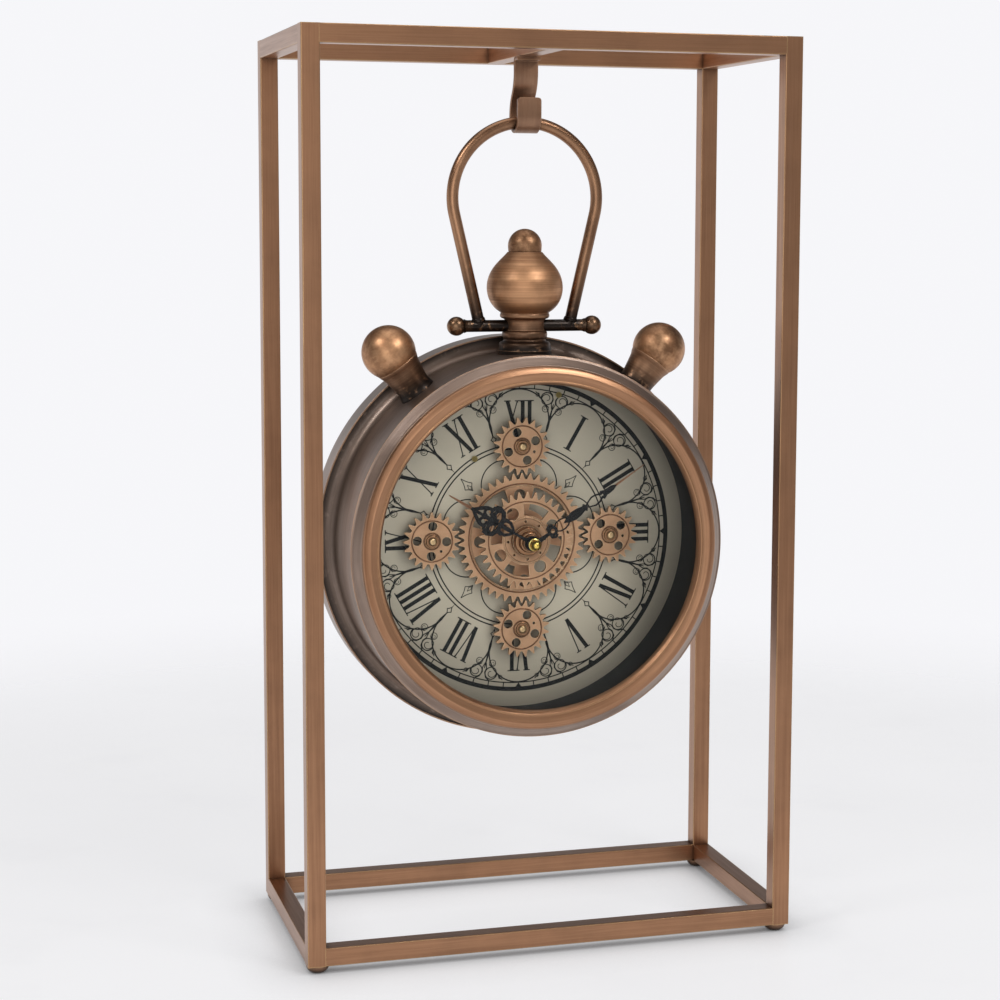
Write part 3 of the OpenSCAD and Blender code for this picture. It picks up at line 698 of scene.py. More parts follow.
def make_bow():
    """A wire bent to an arch with straight legs that lean in to the rod, and a weld at each end."""
    low, high = box_mm("bow")
    arch_r = (high.x - low.x) / 2 - WIRE_R
    arch_z = high.z - WIRE_R - arch_r
    drop = arch_z - ROD.z
    lean = math.asin(arch_r / math.hypot(BOW_FOOT, drop)) - math.atan2(BOW_FOOT, drop)
    leg = math.sqrt(BOW_FOOT ** 2 + drop ** 2 - arch_r ** 2)
    start = -math.degrees(lean)
    arch = arc(0, arch_z, arch_r, start, 180 - start, 144)
    down = Vector((-math.sin(lean), -math.cos(lean)))
    right = [tuple(Vector(arch[0]) + down * (leg * i / 10)) for i in range(10, 0, -1)]
    left = mirrored(right[::-1])
    route = [(x, ROD.y, z) for x, z in right + arch + left]
    piece("bow_wire", sweep(route, WIRE_R, 44), BOW_COPPER, "bow", "bow")
    weld = rounded([(3.6, -1.6), (4.9, -1.2), (4.5, 1.0), (3.6, 1.8)], 0.5)
    for side, name in SIDES:
        place = at(side * BOW_FOOT, ROD.y, ROD.z) @ Matrix.Rotation(side * lean, 4, "Y") @ at(0, 0, 4.1)
        piece("bow_weld_" + name, lathe(weld, place, True, 40, 50), ROD_COPPER, "bow")


def make_cross_rod():
    """The rod, and on each end a ball with a thin weld round the joint."""
    low, high = box_mm("cross_rod")
    r = (high.z - low.z) / 2
    half = (high.x - low.x) / 2
    ends = rounded([(0, -half), (r, -half), (r, half), (0, half)], 0.2, closed=False)
    place = at(0, ROD.y, ROD.z) @ Matrix.Rotation(math.radians(90), 4, "Y")
    piece("rod", lathe(ends, place, steps=40), ROD_COPPER, "bow", "cross_rod")
    for side, name in SIDES:
        node = "rod_ball_" + name
        ball_r = (box_mm(node)[1].z - box_mm(node)[0].z) / 2
        place = at(*centre(node)) @ Matrix.Rotation(math.radians(90 * side), 4, "Y")
        join = -math.degrees(math.acos((r + 0.1) / ball_r))
        ball = [(0, -ball_r * 0.6)] + arc(0, 0, ball_r, join, 90, 28)[:-1] + [(0, ball_r)]
        piece("rod_end_ball_" + name, lathe(ball, place, steps=48, sharp=40), ROD_COPPER, "bow", node)
        weld = smooth(shifted(r, -ball_r, [(0.02, -0.7), (0.3, 0.2), (0.7, 1.1)]), 3)
        weld += [(r - 0.4, 0.4 - ball_r)]
        piece("rod_weld_" + name, lathe(weld, place, True, 48, 50), ROD_COPPER, "bow")


# ---- case ----
def make_drum():
    """The drum with its flared flange, its finish darkened by painted shade from the rear of the side
    wall across the flange, and a rim round the flange's edge without that shade, so brighter.
    """
    low, high = box_mm("case_drum")
    front, back = low.y, high.y
    shoulder = 20.5
    bore = DRUM_R - DRUM_WALL
    points = shifted(0, front, [(120.1, 0, 0.2), (121.6, 0, 0.4), (122.2, 1.0, 0.5)])
    points += shifted(DRUM_R, front, [(-0.9, 5.3, 0.3), (0.5, 5.8, 0.15), (0.5, 6.7, 0.3), (0, 7.5, 0.5)])
    points += [(DRUM_R, 11.6)] + arc(DRUM_R + 7, 12, 7, 180, 92, 14)
    points += [(FLANGE_R - 0.4, shoulder - 1.4, 0.1), (FLANGE_R - 0.4, back - 0.4, 0.1),
               (FLANGE_R - 1.5, back - 0.4, 0.2), (FLANGE_R - 1.5, shoulder + 1.5, 0.3),
               (bore, shoulder + 1.5, 0.3), (bore, front + 5.6, 0.5), (121.2, front + 1.5, 0.3),
               (120.1, front + 1.5, 0.2)]
    shell = lathe(rounded(points, 0.05, n=3), closed=True, steps=256, sharp=24)
    piece("drum_shell", shell, DRUM_COPPER_SHADED, "case", "case_drum")
    rim = [(FLANGE_R - 1.0, shoulder - 2.6, 0.15), (FLANGE_R, shoulder - 2.6, 0.15)]
    rim += shifted(FLANGE_R, back, [(0, -0.5, 0.5), (-0.5, 0, 0.3), (-1.6, 0, 0.3), (-1.6, -0.8, 0.2),
                                    (-1.0, -0.8, 0.2)])
    piece("drum_rim", lathe(rounded(rim, 0.15, n=3), closed=True, steps=256, sharp=24), CASE_COPPER, "case")


def make_bezel():
    """The moulded front ring, with a seat for the glass and a lip inside."""
    low, high = box_mm("front_bezel")
    outer, front, back = high.x, low.y, high.y
    seat = -49.2
    bore = 119.9
    glass_front = box_mm("glass")[0].y
    glass_r = box_mm("glass")[1].x + 0.2
    face = smooth(shifted(outer, front, [(0, 4.0), (-0.2, 2.9), (-0.9, 1.8), (-2.2, 1.0), (-3.8, 0.25),
                                         (-4.8, 0.05), (-6.2, 0.45), (-8.2, 0.95), (-9.4, 1.1)]), 4)
    lip = shifted(outer, front, [(-9.7, 0.75, 0.2), (-10.6, 0.8, 0.3), (-12.0, 2.9, 0.4)])
    lip += [(outer - 12.3, glass_front, 0.15), (glass_r, glass_front, 0.1), (glass_r, back, 0.1),
            (bore, back, 0.1)]
    profile = rounded([(bore, seat, 0.1), (outer, seat, 0.25)] + face + lip, 0.05, n=3)
    ring = lathe(profile, closed=True, steps=256, sharp=24)
    piece("bezel_ring", ring, BEZEL_COPPER, "case", "front_bezel")


def band(outer, wall, front, back, r=0.15):
    """The outline of a plain ring, for a lathe."""
    inner = outer - wall
    return rounded([(inner, front), (outer, front), (outer, back), (inner, back)], r)


def make_liner():
    low, high = box_mm("dial_liner")
    mesh = lathe(band(high.x, 1.8, low.y, high.y), closed=True, steps=200)
    piece("liner_band", mesh, LINER, "case", "dial_liner")


def make_glass():
    low, high = box_mm("glass")
    profile = rounded([(0, low.y), (high.x, low.y), (high.x, high.y), (0, high.y)], 0.35, closed=False)
    piece("glass_disc", lathe(profile, steps=160), GLASS, "case", "glass")


# ---- crown and side knobs ----
def make_crown():
    """Neck, onion and bead, turned about an upright line through the rod."""
    up = at(0, ROD.y, ROD.z)
    foot, neck_top, sink = (box_mm("crown_" + part)[0].z - ROD.z for part in ("neck", "onion", "ball"))
    neck = [(0, foot), (18.2, foot), (18.3, -16.5)]
    for bend in ([(18.1, -16.2), (17.6, -14.2), (17.4, -12.4), (16.6, -11.2), (14.6, -10.2), (14.1, -9.2)],
                 [(14.2, -8.8), (15.0, -7.6), (15.3, -5.6), (14.9, -3.9), (13.4, -3.1)],
                 [(13.2, -2.9), (12.9, 0.0), (13.1, 2.6), (13.9, 4.3), (15.6, 5.1)],
                 [(15.8, 5.2), (16.5, 5.9), (16.7, 7.2), (16.2, neck_top)]):
        neck += smooth(bend, 4)
    neck += [(0, neck_top)]
    piece("neck_turning", lathe(neck, up, steps=96, sharp=35), NECK_COPPER, "case", "crown_neck")
    onion = smooth([(16.2, 0), (16.9, 0.7), (19.3, 2.4), (22.2, 5.6), (24.3, 9.6), (25.4, 14.0),
                    (25.6, 18.0), (24.9, 22.6), (23.1, 27.2), (20.4, 31.4), (17.0, 35.2), (13.6, 38.6),
                    (11.7, 40.8)], 5)
    onion = lathe([(0, 0)] + onion + [(0, 40.8)], up @ at(0, 0, neck_top), steps=128, sharp=35)
    piece("onion", onion, KNOB_COPPER, "case", "crown_onion")
    ball_r = 11.4
    ball_z = box_mm("crown_ball")[1].z - ball_r - ROD.z
    ball = [(0, sink), (10.9, sink), (11.2, sink + 0.8)]
    ball += arc(0, ball_z, ball_r, -8, 90, 30)[:-1] + [(0, ball_z + ball_r)]
    piece("crown_bead", lathe(ball, up, steps=96, sharp=35), BALL_COPPER, "case", "crown_ball")


def make_knobs():
    """On each side a waisted cup that stands out from the drum, and a ball seated in it."""
    for _, name in SIDES:
        node = "knob_ball_" + name
        ball = centre(node)
        ball_r = (box_mm(node)[1].y - box_mm(node)[0].y) / 2
        out = Vector((ball.x - AXIS.x, 0, ball.z - AXIS.z))
        place = at(AXIS.x, ball.y, AXIS.z) @ Matrix.Rotation(math.atan2(out.x, out.z), 4, "Y")
        seat = out.length - ball_r
        sphere = arc(0, out.length, ball_r, -72, 90, 44)[:-1]
        sphere = lathe([(0, seat + 2)] + sphere + [(0, out.length + ball_r)], place, steps=96)
        piece("side_ball_" + name, sphere, BALL_COPPER, "case", node)
        waist = shifted(0, DRUM_R, [(12.5, 0.4), (11.9, 2.6), (11.8, 6.5), (12.4, 11.0)])
        waist += shifted(0, seat, [(13.6, 3.4), (14.6, 6.2), (15.1, 7.7)])
        cup = shifted(0, DRUM_R, [(0, -5.5), (12.6, -5.5), (12.6, -0.2)]) + smooth(waist, 5)
        cup += shifted(0, seat, [(15.0, 8.0), (14.0, 7.9), (12.2, 6.0), (0, 3)])
        cup = lathe(cup, place, steps=80, sharp=35)
        piece("knob_cup_" + name, cup, NECK_COPPER, "case", "knob_stem_" + name)


# ---- printed dial ----
PRINT = 0.05                      # thickness of the print


class Print:
    """Flat strokes of ink on the dial, x to the right and y up from its centre.
    Their heights differ a little, so that no two faces share a plane where strokes cross."""

    def __init__(self):
        self.bm = bmesh.new()
        self.count = -1

    def heights(self):
        """Where the next stroke starts and ends."""
        self.count += 1
        return 0, PRINT + self.count % 7 * 0.002

    def layers(self, low, high):
        """The heights of a shape's outlines, each with how far it is drawn in."""
        return (low, 0), (high, 0)

    def section(self, low, high, half):
        """A stroke's cross-section: across and up."""
        return (half, low), (half, high), (-half, high), (-half, low)

    def shape(self, outline):
        """A closed convex shape."""
        points = [Vector(p) for p in outline]
        middle = sum(points, Vector((0, 0))) / len(points)
        rows = []
        for height, inset in self.layers(*self.heights()):
            drawn_in = [p + (middle - p).normalized() * inset for p in points]
            rows.append([self.bm.verts.new((*p, height)) for p in drawn_in])
        self.bm.faces.new(rows[0][::-1])
        self.bm.faces.new(rows[-1])
        for a, b in zip(rows, rows[1:]):
            for i in range(len(points)):
                j = (i + 1) % len(points)
                self.bm.faces.new((a[i], a[j], b[j], b[i]))

    def stroke(self, points, width, closed=False):
        """A line of one width, or of a width for each point."""
        low, high = self.heights()
        points = [Vector(p) for p in points]
        n = len(points)
        widths = width if isinstance(width, list) else [width] * n
        rows = []
        for i, p in enumerate(points):
            before = points[i - 1] if closed or i else p
            after = points[(i + 1) % n] if closed or i < n - 1 else p
            way = (after - before).normalized()
            side = Vector((-way.y, way.x))
            section = self.section(low, high, widths[i] / 2)
            rows.append([self.bm.verts.new((*(p + side * s), h)) for s, h in section])
        for i in range(n if closed else n - 1):
            a, b = rows[i], rows[(i + 1) % n]
            for k in range(len(a)):
                j = (k + 1) % len(a)
                self.bm.faces.new((a[k], b[k], b[j], a[j]))
        if not closed:
            self.bm.faces.new(rows[0])
            self.bm.faces.new(rows[-1][::-1])

    def ring(self, r, width, n=180):
        self.stroke(circle(r, n=n), width, closed=True)

    def mesh(self):
        self.bm.transform(at(AXIS.x, DIAL_FRONT, AXIS.z) @ FACING)
        return to_mesh(self.bm)


NUMERALS = ("I", "II", "III", "IV", "V", "VI", "VII", "VIII", "IX", "X", "XI", "XII")
NUMERAL_LOW, NUMERAL_HIGH = 68.5, 93.5
LETTER_WIDTH = {"I": 4.9, "V": 9.6, "X": 9.8}
THICK, THIN, SERIF = 2.7, 0.8, 0.75


def numeral(pen, text, angle):
    """A Roman numeral set upright along its hour line, its foot towards the dial centre."""
    turn = math.radians(-angle)

    def draw(*points):
        pen.shape([(x * math.cos(turn) - y * math.sin(turn), x * math.sin(turn) + y * math.cos(turn))
                   for x, y in points])

    def leg(x0, x1, width):
        half = width / 2
        draw((x0 - half, NUMERAL_LOW), (x0 + half, NUMERAL_LOW), (x1 + half, NUMERAL_HIGH),
             (x1 - half, NUMERAL_HIGH))

    def serif(x0, x1, y):
        flare = 1.6 if y == NUMERAL_LOW else -1.6
        half = SERIF / 2
        draw((x0, y - half), (x1, y - half), (x1, y + half), (x0, y + half))
        for edge, way in ((x0, 1), (x1, -1)):
            draw((edge + way * 1.1, y), (edge + way * 2.2, y), (edge + way * 2.2, y + flare))

    x = -sum(LETTER_WIDTH[c] for c in text) / 2
    run = 0
    for i, letter in enumerate(text):
        wide = LETTER_WIDTH[letter]
        if letter == "I":
            leg(x + wide / 2, x + wide / 2, THICK)
            run += 1
            if i == len(text) - 1 or text[i + 1] != "I":
                for y in (NUMERAL_LOW, NUMERAL_HIGH):
                    serif(x + wide - run * wide - 0.6, x + wide + 0.6, y)
                run = 0
        else:
            left, right = x + 1.4, x + wide - 1.4
            if letter == "V":
                middle = x + wide / 2
                leg(middle, left + 0.2, THICK)
                leg(middle + 0.6, right, THIN)
            else:
                leg(right, left, THICK)
                leg(left, right, THIN)
                serif(left - 1.7, left + 1.7, NUMERAL_LOW)
                serif(right - 2.3, right + 2.3, NUMERAL_LOW)
            serif(left - 2.3, left + 2.3, NUMERAL_HIGH)
            serif(right - 1.7, right + 1.7, NUMERAL_HIGH)
        x += wide


RING_OUT, RING_IN = 108.0, 105.0          # the thick outer ring
TRACK = 102.0                             # thin inner line of the minute track
LOBE_R, LOBE_AT = 21.0, 80.6              # round tops of the twelve lobes
CUSP = LOBE_AT * math.cos(math.radians(15))


def minute_track(pen):
    pen.ring((RING_OUT + RING_IN) / 2, RING_OUT - RING_IN, 240)
    pen.ring(TRACK, 0.8, 240)
    spread = math.degrees(2.3 / RING_IN)
    for minute in range(60):
        angle = minute * 6
        if minute % 5:
            pen.stroke([polar(angle, TRACK), polar(angle, RING_IN + 0.2)], 0.75)
        else:
            pen.shape([polar(angle - spread, RING_IN + 0.3), polar(angle + spread, RING_IN + 0.3),
                       polar(angle, TRACK + 0.1)])


def lobes(pen):
    """Twelve touching round tops, and the ornament in the space outside each cusp."""
    for hour in range(12):
        cx, cy = polar(hour * 30, LOBE_AT)
        way = 90 - hour * 30
        reach = 101
        pen.stroke(arc(cx, cy, LOBE_R, way - reach, way + reach, 44), 0.95)
        ornament(pen, hour * 30 + 15)


def spiral(pen, middle, r, start, way, width):
    """A scroll: a full ring whose end curls inwards."""
    x, y = middle
    turns = 1.75
    n = 40
    points = []
    for i in range(n + 1):
        t = i / n
        a = math.radians(start + way * 360 * turns * t)
        reach = r * (1 - 0.72 * max(0.0, (t - 0.5) / 0.5) ** 0.9)
        points.append((x + reach * math.cos(a), y + reach * math.sin(a)))
    pen.stroke(points, [width * (1 - 0.45 * i / n) for i in range(n + 1)])


def ornament(pen, angle):
    """Two scrolls and two small curls on a stem above a cusp, and an open diamond below it."""
    stem_low, fork = CUSP - 6.4, 89.0
    pen.stroke([polar(angle, stem_low), polar(angle, CUSP), polar(angle, fork + 5)], [0.7, 1.9, 0.6])
    out = 90 - angle
    for side in (-1, 1):
        spiral(pen, polar(angle + side * 3.25, 96.6), 4.2, out - side * 100, side, 0.85)
        spiral(pen, polar(angle + side * 3.0, 89.6), 2.3, out + side * 60, -side, 0.6)
        pen.stroke([polar(angle + side * turn, r) for turn, r in (
            (0.2, fork + 1), (0.9, 93.6), (0.5, 96.6), (1.3, 100.0), (3.0, TRACK))], 0.7)
        pen.stroke([polar(angle + side * turn, r) for turn, r in ((6.0, 96.4), (6.9, 98.6), (8.4, 100.4))],
                   [0.5, 0.9, 0.5])
        spiral(pen, polar(angle + side * 7.4, 98.4), 1.3, out, side, 0.45)
    diamond(pen, angle, CUSP - 8.2, 2.4, 3.0, 2.0, 0.62)
    pen.stroke([polar(angle, CUSP - 11), polar(angle, CUSP - 14.5)], [0.55, 0.15])


def diamond(pen, angle, r, out, back, half, width):
    """An open diamond with hollow sides, its long axis on the radius."""
    spread = math.degrees(half / r)
    tips = [Vector(polar(angle + turn, reach)) for turn, reach in (
        (0, r + out), (spread, r), (0, r - back), (-spread, r))]
    for a, b in zip(tips, tips[1:] + tips[:1]):
        middle = (a + b) / 2 + (Vector(polar(angle, r)) - (a + b) / 2) * 0.3
        pen.stroke([a * (1 - t) ** 2 + middle * 2 * t * (1 - t) + b * t * t
                    for t in (0, 0.25, 0.5, 0.75, 1)], width)


def centre_ornament(pen):
    for r in (61.0, 63.8):
        pen.ring(r, 0.9)
    for quarter in range(4):
        base = quarter * 90
        for side in (-1, 1):
            x, y = polar(base + side * 15.0, 37.6)
            out = 90 - base
            pen.stroke(arc(x, y, 17.0, out + side * 5, out - side * 98, 26), 0.8)
        diamond(pen, base + 45, 50.5, 7.5, 4.5, 3.4, 0.55)
        diamond(pen, base + 45, 49.2, 2.6, 2.0, 1.2, 0.4)


def make_dial():
    low, high = box_mm("dial")
    loops = [circle(high.x, n=200), circle(4.1), circle(2.4, 0, -GEAR_AT)]
    piece("dial_plate", plate(loops, FACE_ON, -high.y, -low.y, 0.2), PAINT, "case", "dial")
    pen = Print()
    minute_track(pen)
    lobes(pen)
    centre_ornament(pen)
    for hour, text in enumerate(NUMERALS, 1):
        numeral(pen, text, hour * 30)
    piece("dial_print", pen.mesh(), INK, "case")


# ---- gears ----
GEAR_AT = centre("sat_gear_top").z - AXIS.z
# angle on the dial clockwise from twelve, turn of the teeth, turn of the holes
SATELLITES = {"top": (0, 9, 21), "right": (90, 0, 39), "bottom": (180, 9, 68), "left": (270, 0, -3)}


def gear_outline(teeth, root, tip, share, tip_width, turn=0.0):
    """Outline of a gear with pointed teeth and a rounded root, one tooth along +X before the turn."""
    points = []
    for i in range(teeth):
        middle = turn + i * 360 / teeth
        half_root = 180 / teeth * share
        half_tip = math.degrees(tip_width / 2 / tip)
        low = root + 0.25
        for angle, r in ((-half_root * 1.08, root), (-half_root * 0.9, low), (-half_tip, tip - 0.1),
                         (-half_tip * 0.5, tip), (half_tip * 0.5, tip), (half_tip, tip - 0.1),
                         (half_root * 0.9, low), (half_root * 1.08, root)):
            a = math.radians(middle + angle)
            points.append((r * math.cos(a), r * math.sin(a)))
    return points


def slot(r0, r1, middle, width):
    """A curved slot between two radii, with eased corners."""
    out = []
    for r, half in ((r1, width / 2), (r0, -width / 2)):
        side = arc(0, 0, r, middle - half, middle + half, 18)
        out += [(*side[0], 1.2), *[(*p, 0.01) for p in side[1:-1]], (*side[-1], 1.2)]
    return rounded(out, 0.01, n=3)


def hole(r, angle, dist, n=36):
    a = math.radians(angle)
    return circle(r, dist * math.cos(a), dist * math.sin(a), n)


def bead(r, width, height, face, place=ON_AXIS, steps=140):
    """A half-round raised line on a front face at depth face."""
    profile = [(r - width / 2, face + 0.05), *arc(r, face, width / 2, 180, 360, 8)[1:-1],
               (r + width / 2, face + 0.05)]
    squeeze = [(x, face + (y - face) * height / (width / 2) if y < face else y) for x, y in profile]
    return lathe(squeeze, place, closed=True, steps=steps, sharp=60)


PLATE_INSET = 0.5                 # a wheel's plate lies this far behind the front of its node
WHEEL_BORE = 9.0                  # the bore of both wheels, where the hub passes


def make_ring_gear():
    low, high = box_mm("ring_gear")
    tip = max(high.x - AXIS.x, high.z - AXIS.z)
    face = low.y + PLATE_INSET
    loops = [gear_outline(46, tip - 4.2, tip, 0.78, 1.0, 90), circle(WHEEL_BORE)]
    for a in range(0, 360, 90):
        loops += [slot(20, 35.6, a + 48, 56), hole(4.2, a + 3, 29.5)]
    piece("ring_wheel", plate(loops, FACE_ON, -high.y, -face, 0.22), GEAR_COPPER, "ring_gears", "ring_gear")
    piece("ring_wheel_line", bead(37.5, 0.9, 0.28, face), LINE_COPPER, "ring_gears")
    lip = rounded([(35.7, face), (36.3, face - 0.25), (36.5, face + 0.2), (35.7, face + 0.5)], 0.1)
    piece("ring_wheel_lip", lathe(lip, closed=True, steps=140), GEAR_COPPER, "ring_gears")


def make_mid_gear():
    low, high = box_mm("mid_gear")
    tip = 33.3
    face = low.y + PLATE_INSET
    loops = [gear_outline(34, tip - 4.5, tip, 0.76, 1.0, -6.7 + 90 + 180 / 34), circle(WHEEL_BORE)]
    for a in range(0, 360, 90):
        loops += [slot(16.9, 25, a + 73, 44), hole(4.2, a + 28, 20.6)]
    loops += [hole(0.95, a, 12.9, 16) for a in range(3, 360, 45)]
    piece("mid_wheel", plate(loops, FACE_ON, -high.y, -face, 0.2), GEAR_COPPER, "ring_gears", "mid_gear")
    piece("mid_wheel_line", bead(26.6, 0.8, 0.25, face), LINE_COPPER, "ring_gears")
    piece("mid_wheel_rim", bead(15.5, 1.1, 0.5, face), GEAR_COPPER, "ring_gears")


def make_gear_hub():
    low, high = box_mm("gear_hub")
    mid_front = box_mm("mid_gear")[0].y + PLATE_INSET
    gear_back = box_mm("ring_gear")[1].y
    profile = [(4.05, low.y), (10.4, low.y), (10.4, mid_front), (WHEEL_BORE, mid_front),
               (WHEEL_BORE, gear_back), (14, gear_back), (14, high.y), (4.05, high.y)]
    hub = lathe(rounded(profile, 0.3, n=3), closed=True, steps=96)
    piece("hub_boss", hub, GEAR_COPPER, "ring_gears", "gear_hub")


def make_satellites():
    """Each gear is a plate with two raised lines, behind a boss round its spindle."""
    tip = (box_mm("sat_gear_top")[1].x - box_mm("sat_gear_top")[0].x) / 2
    bore = 2.06
    for name, (clockwise, tooth_turn, hole_turn) in SATELLITES.items():
        low, high = box_mm("sat_gear_" + name)
        x, z = polar(clockwise, GEAR_AT)
        face = low.y + 1.8
        body = name + "_satellite"
        place = at(AXIS.x + x, 0, AXIS.z + z)
        loops = [gear_outline(20, tip - 4.0, tip, 0.78, 1.0, tooth_turn), circle(bore, n=24)]
        loops += [hole(3.1, hole_turn + a, 10.2) for a in range(0, 360, 90)]
        loops.append(hole(0.9, hole_turn - 45, 9.4))
        mesh = plate(loops, place @ FACING, -high.y, -face, 0.2)
        piece("satellite_" + name, mesh, GEAR_COPPER, body, "sat_gear_" + name)
        boss = [(bore, face + 0.1), (5.1, face + 0.1), (5.0, face - 0.4), (4.4, face - 0.5), (4.1, low.y),
                (bore, low.y)]
        boss = lathe(rounded(boss, 0.2, n=3), place @ TURNED, True, 48)
        piece("satellite_boss_" + name, boss, COLLAR_COPPER, body)
        for part, r, width, height in (("line", 14.0, 0.85, 0.28), ("rim", 5.7, 0.8, 0.25)):
            line = bead(r, width, height, face, place @ TURNED, 96)
            piece(f"satellite_{part}_{name}", line, LINE_COPPER, body)


def make_spindles():
    """Three spindles stand on the dial. The bottom one comes through it from the motor and turns."""
    front = box_mm("gear_posts")[0].y
    drive_back = box_mm("drive_spindle")[1].y
    foot_y = box_mm("sat_gear_top")[1].y + 0.4
    head = shifted(0, front, [(1.2, 0.05), (2.0, 0.3), (2.7, 0.9), (2.8, 1.5)])
    head = [(0, front), *smooth(head, 3), (2.6, front + 1.8), (2.0, front + 2.0)]
    fixed = [(2.0, foot_y), (3.7, foot_y), (4.0, foot_y + 0.3), (4.0, DIAL_FRONT), (0, DIAL_FRONT)]
    driven = [(2.0, drive_back - 0.3), (1.7, drive_back), (0, drive_back)]
    for name, (clockwise, _, _) in SATELLITES.items():
        x, z = polar(clockwise, GEAR_AT)
        place = at(AXIS.x + x, 0, AXIS.z + z) @ TURNED
        mesh = lathe(head + (driven if name == "bottom" else fixed), place, steps=40, sharp=35)
        body = "bottom_satellite" if name == "bottom" else "case"
        stands_for = {"bottom": ["drive_spindle"], "top": ["gear_posts"]}.get(name, [])
        piece("spindle_" + name, mesh, PIN_BRASS, body, *stands_for)


# ---- centre and hands ----
def make_centre():
    low, high = box_mm("hub_collar")
    collar = [(4.0, high.y), (9.6, high.y), (9.6, -14.6), (9.1, -15.3), (7.2, -15.5), (7.0, -16.2),
              (7.0, -18.6), (6.6, -19.2), (5.7, -19.5), (5.6, -20.1), (5.6, -22.2), (5.3, low.y),
              (4.0, low.y)]
    collar = lathe(rounded(collar, 0.25, n=3), closed=True, steps=80, sharp=35)
    piece("centre_collar", collar, COLLAR_COPPER, "case", "hub_collar")
    low, high = box_mm("cap_nut")
    r = high.x - AXIS.x
    dome_r = 3.7
    nut = [(0, low.y)] + arc(0, low.y + dome_r, dome_r, -90, -6, 14)[1:]
    nut += shifted(0, high.y, [(3.75, -1.5), (r, -1.3), (r, -0.2), (r - 0.3, 0), (1.56, 0), (1.56, -3.4),
                               (0, -3.5)])
    piece("cap_nut_dome", lathe(nut, steps=64, sharp=35), BRASS, "minute_hand", "cap_nut")


EASE = 0.16                       # the broken edge of a hand
HOUR_AT, MINUTE_AT = 301, 56      # the hands' angles, clockwise from twelve


class Hand(Print):
    """Strokes of metal with broken edges, +Y towards the hand's tip."""

    def __init__(self, thick):
        super().__init__()
        self.thick = thick

    def heights(self):
        self.count += 1
        lift = self.thick * (1 - 0.03 * (self.count % 5))
        low = (self.thick - lift) / 2
        return low, low + lift

    def layers(self, low, high):
        return (low, EASE), (low + EASE, 0), (high - EASE, 0), (high, EASE)

    def section(self, low, high, half):
        ease = min(EASE, half * 0.6)
        inner = half - ease
        return ((-half, low + ease), (-half, high - ease), (-inner, high), (inner, high),
                (half, high - ease), (half, low + ease), (inner, low), (-inner, low))

    def mesh(self, clockwise, back):
        turn = Matrix.Rotation(math.radians(-clockwise), 4, "Z")
        self.bm.transform(at(AXIS.x, back, AXIS.z) @ FACING @ turn)
        box_grain(self.bm, 0)
        return to_mesh(self.bm, 40)


def make_hour_hand():
    """Openwork scrolls either side of a stem, ending in a fine point."""
    low, high = box_mm("hour_hand")
    thick = high.y - low.y
    work = Hand(thick)
    work.stroke(circle(4.05, n=48), 2.0, closed=True)
    work.stroke([(0, 5), (0, 9), (0, 15), (0, 20)], [2.6, 1.9, 1.8, 3.2])
    work.stroke([(0, 20), (0, 28), (0, 33), (0, 41), (0, 47)], [3.2, 2.0, 3.4, 2.0, 2.4])
    for flip in (list, mirrored):
        work.stroke(flip([(0.3, 15.5), (2.6, 17.4), (4.6, 20.4), (4.3, 24.0), (1.8, 25.4), (0.4, 23.4)]),
                    [1.8, 2.0, 2.3, 2.3, 2.0, 1.4])
        work.stroke(flip(arc(4.7, 29.4, 3.5, 200, -95, 18)), [2.9 - 0.06 * i for i in range(19)])
        work.stroke(flip([(1.0, 26.4), (4.2, 26.0), (8.0, 28.0), (9.4, 31.4), (7.6, 35.0), (4.4, 36.0)]),
                    [2.0, 2.8, 3.4, 3.2, 2.7, 1.6])
        work.stroke(flip(arc(3.4, 37.6, 2.5, -120, 190, 16)), 2.0)
        work.stroke(flip([(6.6, 35.6), (5.8, 39.6), (3.6, 43.0), (0.6, 47.4)]), [1.8, 2.4, 2.6, 1.8])
        work.shape(flip([(1.0, 29.6), (4.0, 31.2), (3.6, 34.4), (0.8, 35.4)]))
        work.shape(flip([(8.0, 29.6), (11.0, 31.2), (10.2, 35.0), (7.4, 34.4)]))
        work.shape(flip([(4.6, 21.4), (6.4, 22.2), (6.0, 24.8), (4.2, 24.6)]))
    work.stroke([(0, 47), (0, 49.4)], [3.0, 1.8])
    piece("hour_scrollwork", work.mesh(HOUR_AT, high.y), HAND_BLACK, "hour_hand", "hour_hand")
    needle = Hand(thick * 0.8)
    needle.stroke([(0, 48.2), (0, 51), (0, 58), (0, 66.9)], [1.7, 2.2, 1.7, 0.8])
    piece("hour_needle", needle.mesh(HOUR_AT, high.y - 0.1), NEEDLE_COPPER, "hour_hand")


